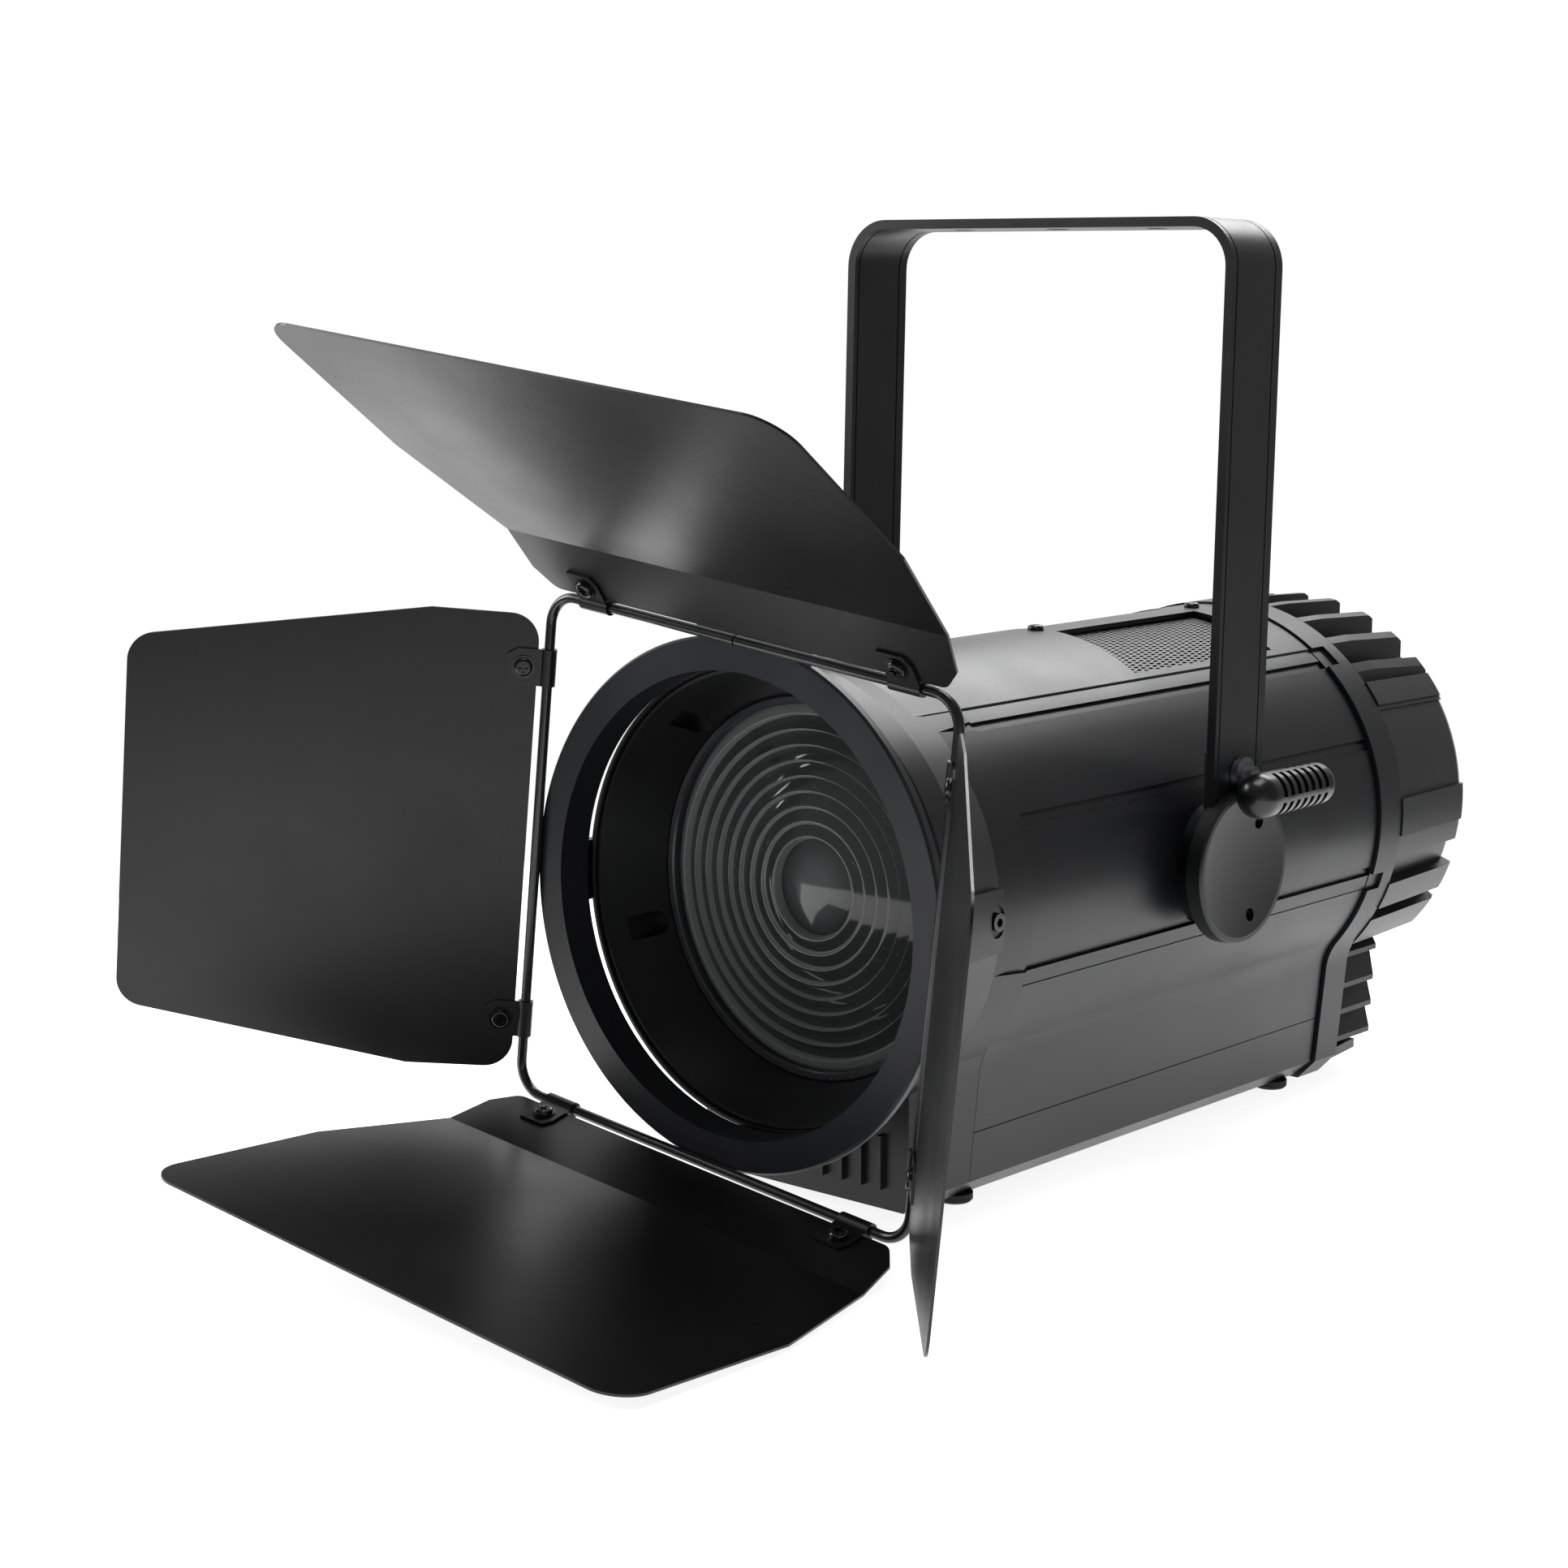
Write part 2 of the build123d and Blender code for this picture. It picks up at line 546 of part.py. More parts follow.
with BuildPart() as yoke:
    with BuildSketch(yoke_front.offset(-YOKE_WIDTH / 2)):
        with Locations((0, YOKE_TOP / 2 - 25)):
            RectangleRounded(2 * YOKE_HALF, YOKE_TOP + 50, 24)
        with Locations((0, YOKE_TOP / 2 - 25 - YOKE_T / 2)):
            RectangleRounded(2 * YOKE_IN, YOKE_TOP + 50 - YOKE_T, 19.4, mode=Mode.SUBTRACT)
    extrude(amount=YOKE_WIDTH)
    # the strap ends in rounded ears around the pivots
    with BuildSketch(yoke_side.offset(-YOKE_HALF - 1)):
        with Locations((0, -61)):
            Rectangle(90, 100)
        with Locations((0, -11)):
            Circle(YOKE_WIDTH / 2, mode=Mode.SUBTRACT)
    extrude(amount=2 * YOKE_HALF + 2, mode=Mode.SUBTRACT)
    # pivot holes, cap screw holes and the lever hole
    with BuildSketch(yoke_side.offset(-YOKE_HALF - 1)):
        Circle(6.0)
        with Locations(*CAP_SCREWS):
            Circle(2.05)
    extrude(amount=2 * YOKE_HALF + 2, mode=Mode.SUBTRACT)
    with BuildSketch(Plane.YZ.offset(YOKE_IN - 1)):
        with Locations((LEVER_Y, LEVER_Z)):
            Circle(4.05)
    extrude(amount=10, mode=Mode.SUBTRACT)
    # mounting holes in the cross bar
    with BuildSketch(Plane.XY.offset(YOKE_TOP - 15)):
        with Locations((0, PIVOT_Y + YOKE_TOP * math.sin(lean))):
            Circle(6.25)
            with GridLocations(120, 0, 2, 1):
                Circle(5.25)
    extrude(amount=30, mode=Mode.SUBTRACT)
    # shallow grooves that run along both edges of the outer and inner face
    for y in (-YOKE_WIDTH / 2 + 6.2, YOKE_WIDTH / 2 - 3.4):
        with BuildSketch(yoke_front.offset(y - 0.45)):
            with Locations((0, YOKE_TOP / 2 - 25)):
                RectangleRounded(2 * YOKE_HALF + 4, YOKE_TOP + 54, 26)
                RectangleRounded(2 * YOKE_HALF - 0.8, YOKE_TOP + 49.2, 23.6, mode=Mode.SUBTRACT)
            with Locations((0, YOKE_TOP / 2 - 25 - YOKE_T / 2)):
                RectangleRounded(2 * YOKE_IN + 0.8, YOKE_TOP + 50.8 - YOKE_T, 19.8)
                RectangleRounded(2 * YOKE_IN, YOKE_TOP + 50 - YOKE_T, 19.4, mode=Mode.SUBTRACT)
        extrude(amount=0.9, mode=Mode.SUBTRACT)
save(yoke, "yoke")


def cap_plane(side, x):
    """Plane across a pivot cap; local x follows the strap width, local y the strap length."""
    return Plane(origin=(side * x, PIVOT_Y, 0), x_dir=yoke_side.x_dir * side, z_dir=(side, 0, 0))


with BuildPart() as pivot_caps:
    for side in (1, -1):
        # dished disc, revolved about the tilt axis
        with BuildSketch(Plane(origin=(0, PIVOT_Y, 0), x_dir=(0, 1, 0), z_dir=(0, 0, side))):
            with BuildLine():
                Polyline((34.8, -125.8), (37, -125.8), (38, -124.8), (38, -117.2), (0, -117.2), (0, -123.3))
                ThreePointArc((0, -123.3), (18, -123.95), (34.8, -125.8))
            make_face()
        revolve(axis=Axis((0, PIVOT_Y, 0), (1, 0, 0)))
    for side in (1, -1):
        # slot that takes the strap end, then room for the bolt head and the screw heads
        with BuildSketch(cap_plane(side, 117.0)):
            with Locations((0, -11)):
                Circle(YOKE_WIDTH / 2 + 0.05)
            with Locations((0, 24.5)):
                Rectangle(YOKE_WIDTH + 0.1, 71)
        extrude(amount=3.05, mode=Mode.SUBTRACT)
        with BuildSketch(cap_plane(side, 119)):
            Circle(10)
        extrude(amount=3.4, mode=Mode.SUBTRACT)
        with BuildSketch(cap_plane(side, 119)):
            with Locations(*[(side * y, z) for y, z in CAP_SCREWS]):
                Circle(3.3)
        extrude(amount=10, mode=Mode.SUBTRACT)
save(pivot_caps, "pivot_caps")

with BuildPart() as cap_screws:
    for side in (1, -1):
        spots = [(side * y, z) for y, z in CAP_SCREWS]
        with BuildSketch(cap_plane(side, 115.5)):
            with Locations(*spots):
                Circle(2.0)
        extrude(amount=4.7)
        with BuildSketch(cap_plane(side, 120.1)):
            with Locations(*spots):
                Circle(3.2)
                RegularPolygon(1.5, 6, mode=Mode.SUBTRACT)
        extrude(amount=1.6)
save(cap_screws, "cap_screws")

# ---- tilt lock: lever, stud, collar and brake shoe --------------------------------------
BALL_X, BALL_Y, BALL_Z = 138.0, 229.0, 38.0     # the ball end hangs lower than the stud
BALL_R = 11.2
GRIP = 53.5
with BuildPart() as tilt_lever:
    with Locations(Location((124.2, LEVER_Y, LEVER_Z), (0, 90, 0))):
        Cylinder(8.0, 2.2, align=(Align.CENTER, Align.CENTER, Align.MIN))
    # oblique arm from the stud to the ball
    with BuildSketch(Plane.YZ.offset(126.3)):
        with Locations((LEVER_Y, LEVER_Z)):
            Circle(8.0)
    with BuildSketch(Plane.YZ.offset(BALL_X)):
        with Locations((BALL_Y, BALL_Z)):
            Circle(BALL_R)
    loft(ruled=True)
    with Locations((BALL_X, BALL_Y, BALL_Z)):
        Sphere(BALL_R)
    with Locations(Location((BALL_X, BALL_Y, BALL_Z), (-90, 0, 0))):
        Cone(BALL_R, BALL_R - 0.8, GRIP, align=(Align.CENTER, Align.CENTER, Align.MIN))
    tip = tilt_lever.edges().filter_by(GeomType.CIRCLE).sort_by(Axis.Y)[-1]
    fillet(tip, radius=2.5)
    # four rows of finger grooves; the inner rows start behind the arm
    for start, first in ((-90, 0), (0, 0), (90, 3), (180, 3)):
        for k in range(first, 7):
            groove = Plane(
                origin=(BALL_X, BALL_Y + 6.5 + 6.4 * k, BALL_Z),
                x_dir=(math.cos(math.radians(start)), 0, math.sin(math.radians(start))),
                z_dir=(-math.sin(math.radians(start)), 0, math.cos(math.radians(start))),
            )
            with BuildSketch(groove):
                with Locations((11.4, 0)):
                    Rectangle(4.8, 3.2)
            revolve(axis=Axis((BALL_X, BALL_Y, BALL_Z), (0, -1, 0)), revolution_arc=75, mode=Mode.SUBTRACT)
    with Locations(Location((123, LEVER_Y, LEVER_Z), (0, 90, 0))):
        Cylinder(4.1, 7, align=(Align.CENTER, Align.CENTER, Align.MIN), mode=Mode.SUBTRACT)
save(tilt_lever, "tilt_lever")

with BuildPart() as lever_stud:
    with Locations(Location((113.6, LEVER_Y, LEVER_Z), (0, 90, 0))):
        Cylinder(4.0, 15.9, align=(Align.CENTER, Align.CENTER, Align.MIN))
    with Locations(Location((120.35, LEVER_Y, LEVER_Z), (0, 90, 0))):
        Cylinder(8.2, 3.6, align=(Align.CENTER, Align.CENTER, Align.MIN))
save(lever_stud, "lever_stud")

with BuildPart() as brake_shoe:
    with BuildSketch(Plane.YZ.offset(108.1)):
        with Locations((LEVER_Y, 43)):
            Rectangle(26, 28)
        with Locations((PIVOT_Y, 0)):
            Circle(30.4, mode=Mode.SUBTRACT)
    extrude(amount=4.7)
save(brake_shoe, "brake_shoe")

# ---- rear frame, finned rear housing and lower rear cover ---------------------------------
FRAME_R = 109.6
with BuildPart() as rear_frame:
    with BuildSketch(section_at(FRAME_Y)):
        add(body_outline(-2.1))
        add(body_outline(WALL + 2.5), mode=Mode.SUBTRACT)
        # passages that let the long body strips run over the frame
        for low, span in ((47.3, 7.2), (-20.7, 5.0)):
            add(arc_band(HOUSING_R, HOUSING_R + 6, low, span), mode=Mode.SUBTRACT)
            add(arc_band(HOUSING_R, HOUSING_R + 6, 180 - low - span, span), mode=Mode.SUBTRACT)
    extrude(amount=-11)
    with BuildSketch(section_at(FRAME_Y + 11)):
        add(body_outline(-2.1))
        add(body_outline(WALL + 2.5), mode=Mode.SUBTRACT)
    extrude(amount=-(FRAME_END_Y - FRAME_Y - 11))
    # neck that plugs into the casing
    with BuildSketch(section_at(CASING_END_Y - 8)):
        add(body_outline(WALL + 0.3))
        add(body_outline(WALL + 2.5), mode=Mode.SUBTRACT)
    extrude(amount=-(FRAME_Y - CASING_END_Y + 9))
save(rear_frame, "rear_frame")

FINS = (21.0, 42.3, 61.0, 77.3)
REAR_FRONT_R = 110.4       # outer radius of the rear housing at the frame
REAR_BACK_R = 107.5        # and just before its rear edge
# recessed sectors of each side: start angle, span, depth
REAR_STEPS = ((31.0, 1.2, 1.2), (4.8, 26.2, 2.6), (-12.3, 6.5, 1.6), (-20.3, 8.0, 6.5), (-32.8, 4.2, 5.5))
with BuildPart() as rear_housing:
    with BuildSketch(section_at(FRAME_END_Y + 0.2)):
        Circle(98.5)
        for start in (-43.0, 140.3):
            add(arc_band(96, REAR_FRONT_R, start, 82.7))
        for x in FINS:
            with Locations((x, 80), (-x, 80)):
                Rectangle(4.2, 80)
        with Locations((0, 80)):
            Rectangle(4.2, 80)
        add(arc_band(FRAME_R, 170, 39.7, 100.6), mode=Mode.SUBTRACT)
    extrude(amount=-(REAR_END_Y - FRAME_END_Y - 0.2))
    # room for the lower rear cover
    with BuildSketch(section_at(FRAME_END_Y)):
        with Locations((0, -112)):
            Rectangle(240, 75)
    extrude(amount=-(LOWER_REAR_Y - FRAME_END_Y + 3), mode=Mode.SUBTRACT)
    # the whole rear narrows a little towards its end
    with BuildSketch(Plane.XY):
        add(around_y([
            (0, FRAME_END_Y), (REAR_FRONT_R, FRAME_END_Y), (REAR_BACK_R, REAR_END_Y - 4),
            (REAR_BACK_R - 2, REAR_END_Y), (0, REAR_END_Y),
        ]))
    revolve(axis=Axis.Y, mode=Mode.INTERSECT)
    for low, span, depth in REAR_STEPS:
        for start in (low, 180 - low - span):
            with BuildSketch(half_plane(start)):
                Polygon(
                    (REAR_FRONT_R - depth, FRAME_END_Y - 1), (REAR_BACK_R - depth, REAR_END_Y - 4),
                    (REAR_BACK_R - depth - 2, REAR_END_Y + 1), (REAR_FRONT_R + 9, REAR_END_Y + 1),
                    (REAR_FRONT_R + 9, FRAME_END_Y - 1), align=None,
                )
            revolve(axis=BACKWARD, revolution_arc=span, mode=Mode.SUBTRACT)
    with BuildSketch(section_at(FRAME_END_Y)):
        Circle(94)
        with Locations((0, -106)):
            Rectangle(200, 70, mode=Mode.SUBTRACT)
    extrude(amount=-(LOWER_REAR_Y - FRAME_END_Y + 5), mode=Mode.SUBTRACT)
    with BuildSketch(section_at(LOWER_REAR_Y + 4.9)):
        Circle(94)
    extrude(amount=-60, mode=Mode.SUBTRACT)
save(rear_housing, "rear_housing")

SOCKET_Z = -112.0
LOUVRES = (-81.0, -99.0, -114.2, -130.0)
saw = [(71.0, -75.0)]
for z, half in zip(LOUVRES, (78.5, 76.2, 74.4, 72.6)):
    saw += [(half, z + 1.4), (half, z - 1.4), (half - 9.0, z - 2.6)]
saw += [(54.0, -142.0)]
with BuildPart() as lower_rear_cover:
    # each side is a stack of sloping blades with an undercut below each edge
    with BuildSketch(section_at(FRAME_END_Y + 0.2)):
        Polygon(*saw, *[(-x, z) for x, z in reversed(saw)], align=None)
    extrude(amount=-(LOWER_REAR_Y - FRAME_END_Y - 0.2))
    with BuildSketch(Plane.XY.offset(BOTTOM_Z)):
        for sign in (1, -1):
            Polygon(
                (sign * 80, LOWER_REAR_Y - 12), (sign * 80, LOWER_REAR_Y + 1), (sign * 65, LOWER_REAR_Y + 1),
                align=None,
            )
    extrude(amount=80, mode=Mode.SUBTRACT)
    with BuildSketch(Plane.XY.offset(BOTTOM_Z)):
        Polygon(
            (62, FRAME_END_Y + 0.2), (56, LOWER_REAR_Y - 18), (-56, LOWER_REAR_Y - 18), (-62, FRAME_END_Y + 0.2),
            align=None,
        )
    extrude(amount=6)
    with BuildSketch(Plane.XY.offset(BOTTOM_Z + 6)):
        Polygon(
            (70, FRAME_END_Y + 0.2), (66, LOWER_REAR_Y - 10), (-66, LOWER_REAR_Y - 10), (-70, FRAME_END_Y + 0.2),
            align=None,
        )
    extrude(amount=5)
    with BuildSketch(section_at(FRAME_END_Y)):
        with Locations((0, -106)):
            Rectangle(116, 56)
    extrude(amount=-(LOWER_REAR_Y - FRAME_END_Y - 3), mode=Mode.SUBTRACT)
    # openings for the sockets and the switch
    with BuildSketch(section_at(LOWER_REAR_Y - 12)):
        with Locations((-40, SOCKET_Z)):
            Rectangle(27.2, 31.2)
        with Locations((18, SOCKET_Z), (47, SOCKET_Z)):
            Circle(11.1)
        with Locations((-10, SOCKET_Z)):
            Rectangle(12, 21.4)
    extrude(amount=-16, mode=Mode.SUBTRACT)
save(lower_rear_cover, "lower_rear_cover")

# ---- rear panel and its controls ------------------------------------------------------------
PANEL_Y = 478.0
FOCUS_Z = -64.0
DIMMER_AT = (-44.0, -6.0)  # x and z of the dimmer knob
DIMMER_R = 13.0
BUTTON_AT = (40.0, -6.0)   # x and z of the menu button
with BuildPart() as rear_panel:
    with BuildSketch(section_at(PANEL_Y)):
        Circle(93.7)
        with Locations((0, 42)):
            Rectangle(60, 34, mode=Mode.SUBTRACT)
        with Locations((0, FOCUS_Z)):
            Circle(4.1, mode=Mode.SUBTRACT)
        with Locations(DIMMER_AT):
            Circle(3.1, mode=Mode.SUBTRACT)
        with Locations(BUTTON_AT):
            Rectangle(12.4, 8.4, mode=Mode.SUBTRACT)
        with Locations((-78, 30), (78, 30), (-62, -58), (62, -58)):
            Circle(1.6, mode=Mode.SUBTRACT)
    extrude(amount=-3)
save(rear_panel, "rear_panel")

with BuildPart() as panel_screws:
    with BuildSketch(section_at(PANEL_Y - 8)):
        with Locations((-78, 30), (78, 30), (-62, -58), (62, -58)):
            Circle(1.5)
    extrude(amount=-11)
    with BuildSketch(section_at(PANEL_Y + 3.05)):
        with Locations((-78, 30), (78, 30), (-62, -58), (62, -58)):
            Circle(2.9)
            RegularPolygon(1.3, 6, mode=Mode.SUBTRACT)
    extrude(amount=-1.8)
save(panel_screws, "panel_screws")

with BuildPart() as display_window:
    with BuildSketch(section_at(PANEL_Y + 0.6)):
        with Locations((0, 42)):
            Rectangle(59.6, 33.6)
    extrude(amount=-1.8)
save(display_window, "display_window")

with BuildPart() as control_board:
    with BuildSketch(section_at(PANEL_Y - 12)):
        with Locations((0, 22)):
            Rectangle(112, 84)
        with Locations(DIMMER_AT):
            Circle(3.4, mode=Mode.SUBTRACT)
    extrude(amount=-1.6)
    # screen module standing on the board
    with BuildSketch(section_at(PANEL_Y - 10.4)):
        with Locations((0, 42)):
            Rectangle(66, 40)
    extrude(amount=-8)
    with BuildSketch(section_at(PANEL_Y - 10.4)):
        with Locations(BUTTON_AT):
            Rectangle(6, 6)
    extrude(amount=-3)
save(control_board, "control_board")

with BuildPart() as dimmer_knob:
    with BuildSketch(section_at(PANEL_Y + 3.6)):
        with Locations(DIMMER_AT):
            Circle(DIMMER_R)
            with PolarLocations(DIMMER_R + 0.25, 24):
                Circle(0.75, mode=Mode.SUBTRACT)
    extrude(amount=-15)
    with BuildSketch(section_at(PANEL_Y - 12)):
        with Locations(DIMMER_AT):
            Circle(3.0)
    extrude(amount=-17)
    # pointer line
    with BuildSketch(section_at(PANEL_Y + 17.9)):
        with Locations((DIMMER_AT[0], DIMMER_AT[1] + DIMMER_R * 0.55)):
            Rectangle(1.2, DIMMER_R * 0.7)
    extrude(amount=-2, mode=Mode.SUBTRACT)
save(dimmer_knob, "dimmer_knob")

with BuildPart() as menu_button:
    with BuildSketch(section_at(PANEL_Y - 5.2)):
        with Locations(BUTTON_AT):
            Rectangle(14, 10)
    extrude(amount=-3)
    with BuildSketch(section_at(PANEL_Y - 2.2)):
        with Locations(BUTTON_AT):
            RectangleRounded(11.8, 7.8, 1.5)
    extrude(amount=-7.4)
save(menu_button, "menu_button")

with BuildPart() as focus_knob:
    with BuildSketch(section_at(PANEL_Y + 3.6)):
        with Locations((0, FOCUS_Z)):
            Circle(20)
            with PolarLocations(20.6, 12):
                Circle(3.0, mode=Mode.SUBTRACT)
    extrude(amount=-18)
    with BuildSketch(section_at(PANEL_Y + 3)):
        with Locations((0, FOCUS_Z)):
            Circle(4.1)
    extrude(amount=-14, mode=Mode.SUBTRACT)
save(focus_knob, "focus_knob")

with BuildPart() as power_socket:
    with BuildSketch(section_at(LOWER_REAR_Y - 14)):
        with Locations((-40, SOCKET_Z)):
            Rectangle(27, 31)
            Rectangle(22, 18, mode=Mode.SUBTRACT)
    extrude(amount=-14.05)
    with BuildSketch(section_at(LOWER_REAR_Y - 16)):
        with Locations((-40, SOCKET_Z)):
            Rectangle(27, 31)
    extrude(amount=-3)
    with BuildSketch(section_at(LOWER_REAR_Y + 0.05)):
        with Locations((-40, SOCKET_Z)):
            Rectangle(34, 40)
            Rectangle(22, 18, mode=Mode.SUBTRACT)
    extrude(amount=-2)
    with BuildSketch(section_at(LOWER_REAR_Y - 13)):
        with Locations((-40, SOCKET_Z + 3), (-47, SOCKET_Z - 2), (-33, SOCKET_Z - 2)):
            Rectangle(2, 4)
    extrude(amount=-9)
save(power_socket, "power_socket")

with BuildPart() as data_sockets:
    for x in (18, 47):
        with BuildSketch(section_at(LOWER_REAR_Y + 0.05)):
            with Locations((x, SOCKET_Z)):
                RectangleRounded(26, 31, 2)
                Circle(8.6, mode=Mode.SUBTRACT)
        extrude(amount=-1.8)
        with BuildSketch(section_at(LOWER_REAR_Y - 14)):
            with Locations((x, SOCKET_Z)):
                Circle(11)
                Circle(8.6, mode=Mode.SUBTRACT)
        extrude(amount=-14.05)
        with BuildSketch(section_at(LOWER_REAR_Y - 15)):
            with Locations((x, SOCKET_Z)):
                Circle(11)
                with PolarLocations(4.2, 5):
                    Circle(1.1, mode=Mode.SUBTRACT)
        extrude(amount=-6)
save(data_sockets, "data_sockets")

with BuildPart() as power_rocker:
    with BuildSketch(Plane.YZ.offset(-15.5)):
        Polygon(
            (LOWER_REAR_Y - 6, SOCKET_Z + 9.5), (LOWER_REAR_Y + 0.6, SOCKET_Z + 9.5),
            (LOWER_REAR_Y + 1.4, SOCKET_Z), (LOWER_REAR_Y + 3.6, SOCKET_Z - 9.5),
            (LOWER_REAR_Y - 6, SOCKET_Z - 9.5), align=None,
        )
    extrude(amount=11)
    # trunnions that it rocks on
    with Locations(Location((-15.8, LOWER_REAR_Y - 4.8, SOCKET_Z), (0, 90, 0))):
        Cylinder(1.6, 11.6, align=(Align.CENTER, Align.CENTER, Align.MIN))
save(power_rocker, "power_rocker")

# ---- light engine on its focus rails -----------------------------------------------------------
LED_Y = 136.0
ROD_X = 80.0
ROD_Z = 30.0
NUT_Z = FOCUS_Z
with BuildPart() as rail_plates:
    for y, inner in ((92, 70), (322, 30)):
        with BuildSketch(section_at(y)):
            add(body_outline(WALL + 0.4))
            with Locations((0, cover_z + 30)):
                Rectangle(260, 80, mode=Mode.SUBTRACT)
            with Locations((0, -120)):
                Rectangle(260, 80, mode=Mode.SUBTRACT)
            Circle(inner, mode=Mode.SUBTRACT)
            with Locations((ROD_X, ROD_Z), (-ROD_X, ROD_Z)):
                Circle(5.05, mode=Mode.SUBTRACT)
            with Locations((0, NUT_Z)):
                Circle(4.1, mode=Mode.SUBTRACT)
        extrude(amount=-4)
save(rail_plates, "rail_plates")

with BuildPart() as guide_rods:
    with BuildSketch(section_at(90)):
        with Locations((ROD_X, ROD_Z), (-ROD_X, ROD_Z)):
            Circle(5.0)
    extrude(amount=-238)
save(guide_rods, "guide_rods")

with BuildPart() as lead_screw:
    with BuildSketch(section_at(97)):
        with Locations((0, NUT_Z)):
            Circle(4.0)
    extrude(amount=-(PANEL_Y + 14 - 97))
save(lead_screw, "lead_screw")

with BuildPart() as carriage_plate:
    with BuildSketch(section_at(LED_Y + 6)):
        with Locations((0, 20)):
            RectangleRounded(184, 56, 12)
        RectangleRounded(104, 92, 6)
        with Locations((0, -52)):
            RectangleRounded(40, 46, 8)
        with Locations((ROD_X, ROD_Z), (-ROD_X, ROD_Z)):
            Circle(8.0, mode=Mode.SUBTRACT)
        with Locations((0, NUT_Z)):
            Circle(8.0, mode=Mode.SUBTRACT)
    extrude(amount=-5)
save(carriage_plate, "carriage_plate")

with BuildPart() as carriage_bushes:
    for x, z, bore in ((ROD_X, ROD_Z, 5.05), (-ROD_X, ROD_Z, 5.05), (0, NUT_Z, 4.05)):
        with BuildSketch(section_at(LED_Y - 4)):
            with Locations((x, z)):
                Circle(8.0)
                Circle(bore, mode=Mode.SUBTRACT)
        extrude(amount=-26)
        with BuildSketch(section_at(LED_Y + 2.8)):
            with Locations((x, z)):
                Circle(11.0)
                Circle(bore, mode=Mode.SUBTRACT)
        extrude(amount=-3)
save(carriage_bushes, "carriage_bushes")

with BuildPart() as led_board:
    with BuildSketch(section_at(LED_Y + 2)):
        RectangleRounded(60, 60, 3)
    extrude(amount=-4)
    with BuildSketch(section_at(LED_Y)):
        Circle(16)
    extrude(amount=-2)
save(led_board, "led_board")

with BuildPart() as led_reflector:
    with BuildSketch(Plane.XY):
        add(around_y([(17, LED_Y + 1.9), (20, LED_Y + 1.9), (33, LED_Y - 22), (31, LED_Y - 22)]))
    revolve(axis=Axis.Y)
save(led_reflector, "led_reflector")

with BuildPart() as led_heatsink:
    with BuildSketch(section_at(LED_Y + 11)):
        with Locations((0, 2)):
            Rectangle(96, 88)
    extrude(amount=-8)
    with BuildSketch(section_at(LED_Y + 19)):
        with Locations((0, 2)):
            with GridLocations(96 / 15.5, 0, 16, 1):
                Rectangle(1.6, 88)
    extrude(amount=-42)
save(led_heatsink, "led_heatsink")

with BuildPart() as fan_frame:
    with BuildSketch(section_at(LED_Y + 61.2)):
        with Locations((0, 2)):
            RectangleRounded(80, 80, 5)
            Circle(38, mode=Mode.SUBTRACT)
    extrude(amount=-24)
    with BuildSketch(section_at(LED_Y + 82.2)):
        with Locations((0, 2)):
            Circle(17)
            with PolarLocations(28, 4, start_angle=45):
                Rectangle(24, 4)
    extrude(amount=-3)
save(fan_frame, "fan_frame")

with BuildPart() as fan_rotor:
    with BuildSketch(section_at(LED_Y + 63)):
        with Locations((0, 2)):
            Circle(16)
    extrude(amount=-18)
    for k in range(7):
        blade = Plane(
            origin=(0, LED_Y + 72, 2),
            x_dir=(math.cos(math.tau * k / 7), 0.0, math.sin(math.tau * k / 7)),
            z_dir=(-0.7 * math.sin(math.tau * k / 7), 0.7, 0.7 * math.cos(math.tau * k / 7)),
        )
        with BuildSketch(blade):
            with Locations((25, 0)):
                Rectangle(22, 17)
        extrude(amount=0.7, both=True)
save(fan_rotor, "fan_rotor")

# ---- power supply -------------------------------------------------------------------
with BuildPart() as power_supply:
    with BuildSketch(Plane.XY.offset(BOTTOM_Z + WALL + 2)):
        with Locations((0, 216)):
            Rectangle(104, 216)
    extrude(amount=36)
    # folded cover, open where the leads go in
    with BuildSketch(Plane.XY.offset(BOTTOM_Z + WALL + 3.5)):
        with Locations((0, 217.5)):
            Rectangle(101, 216)
    extrude(amount=33, mode=Mode.SUBTRACT)
save(power_supply, "power_supply")

# ---- feet ----------------------------------------------------------------------------------------
with BuildPart() as feet:
    with Locations((0, PIVOT_Y)):
        with GridLocations(*FEET_GRID, 2, 2):
            with Locations((0, 0, FOOT_Z)):
                Cylinder(9, BOTTOM_Z - FOOT_Z - 0.05, align=(Align.CENTER, Align.CENTER, Align.MIN))
            with Locations((0, 0, BOTTOM_Z - 0.5)):
                Cylinder(2.0, 5, align=(Align.CENTER, Align.CENTER, Align.MIN))
    lower = feet.edges().filter_by(GeomType.CIRCLE).group_by(Axis.Z)[0]
    chamfer(lower, length=1.2)
save(feet, "feet")
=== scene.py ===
import json
import math

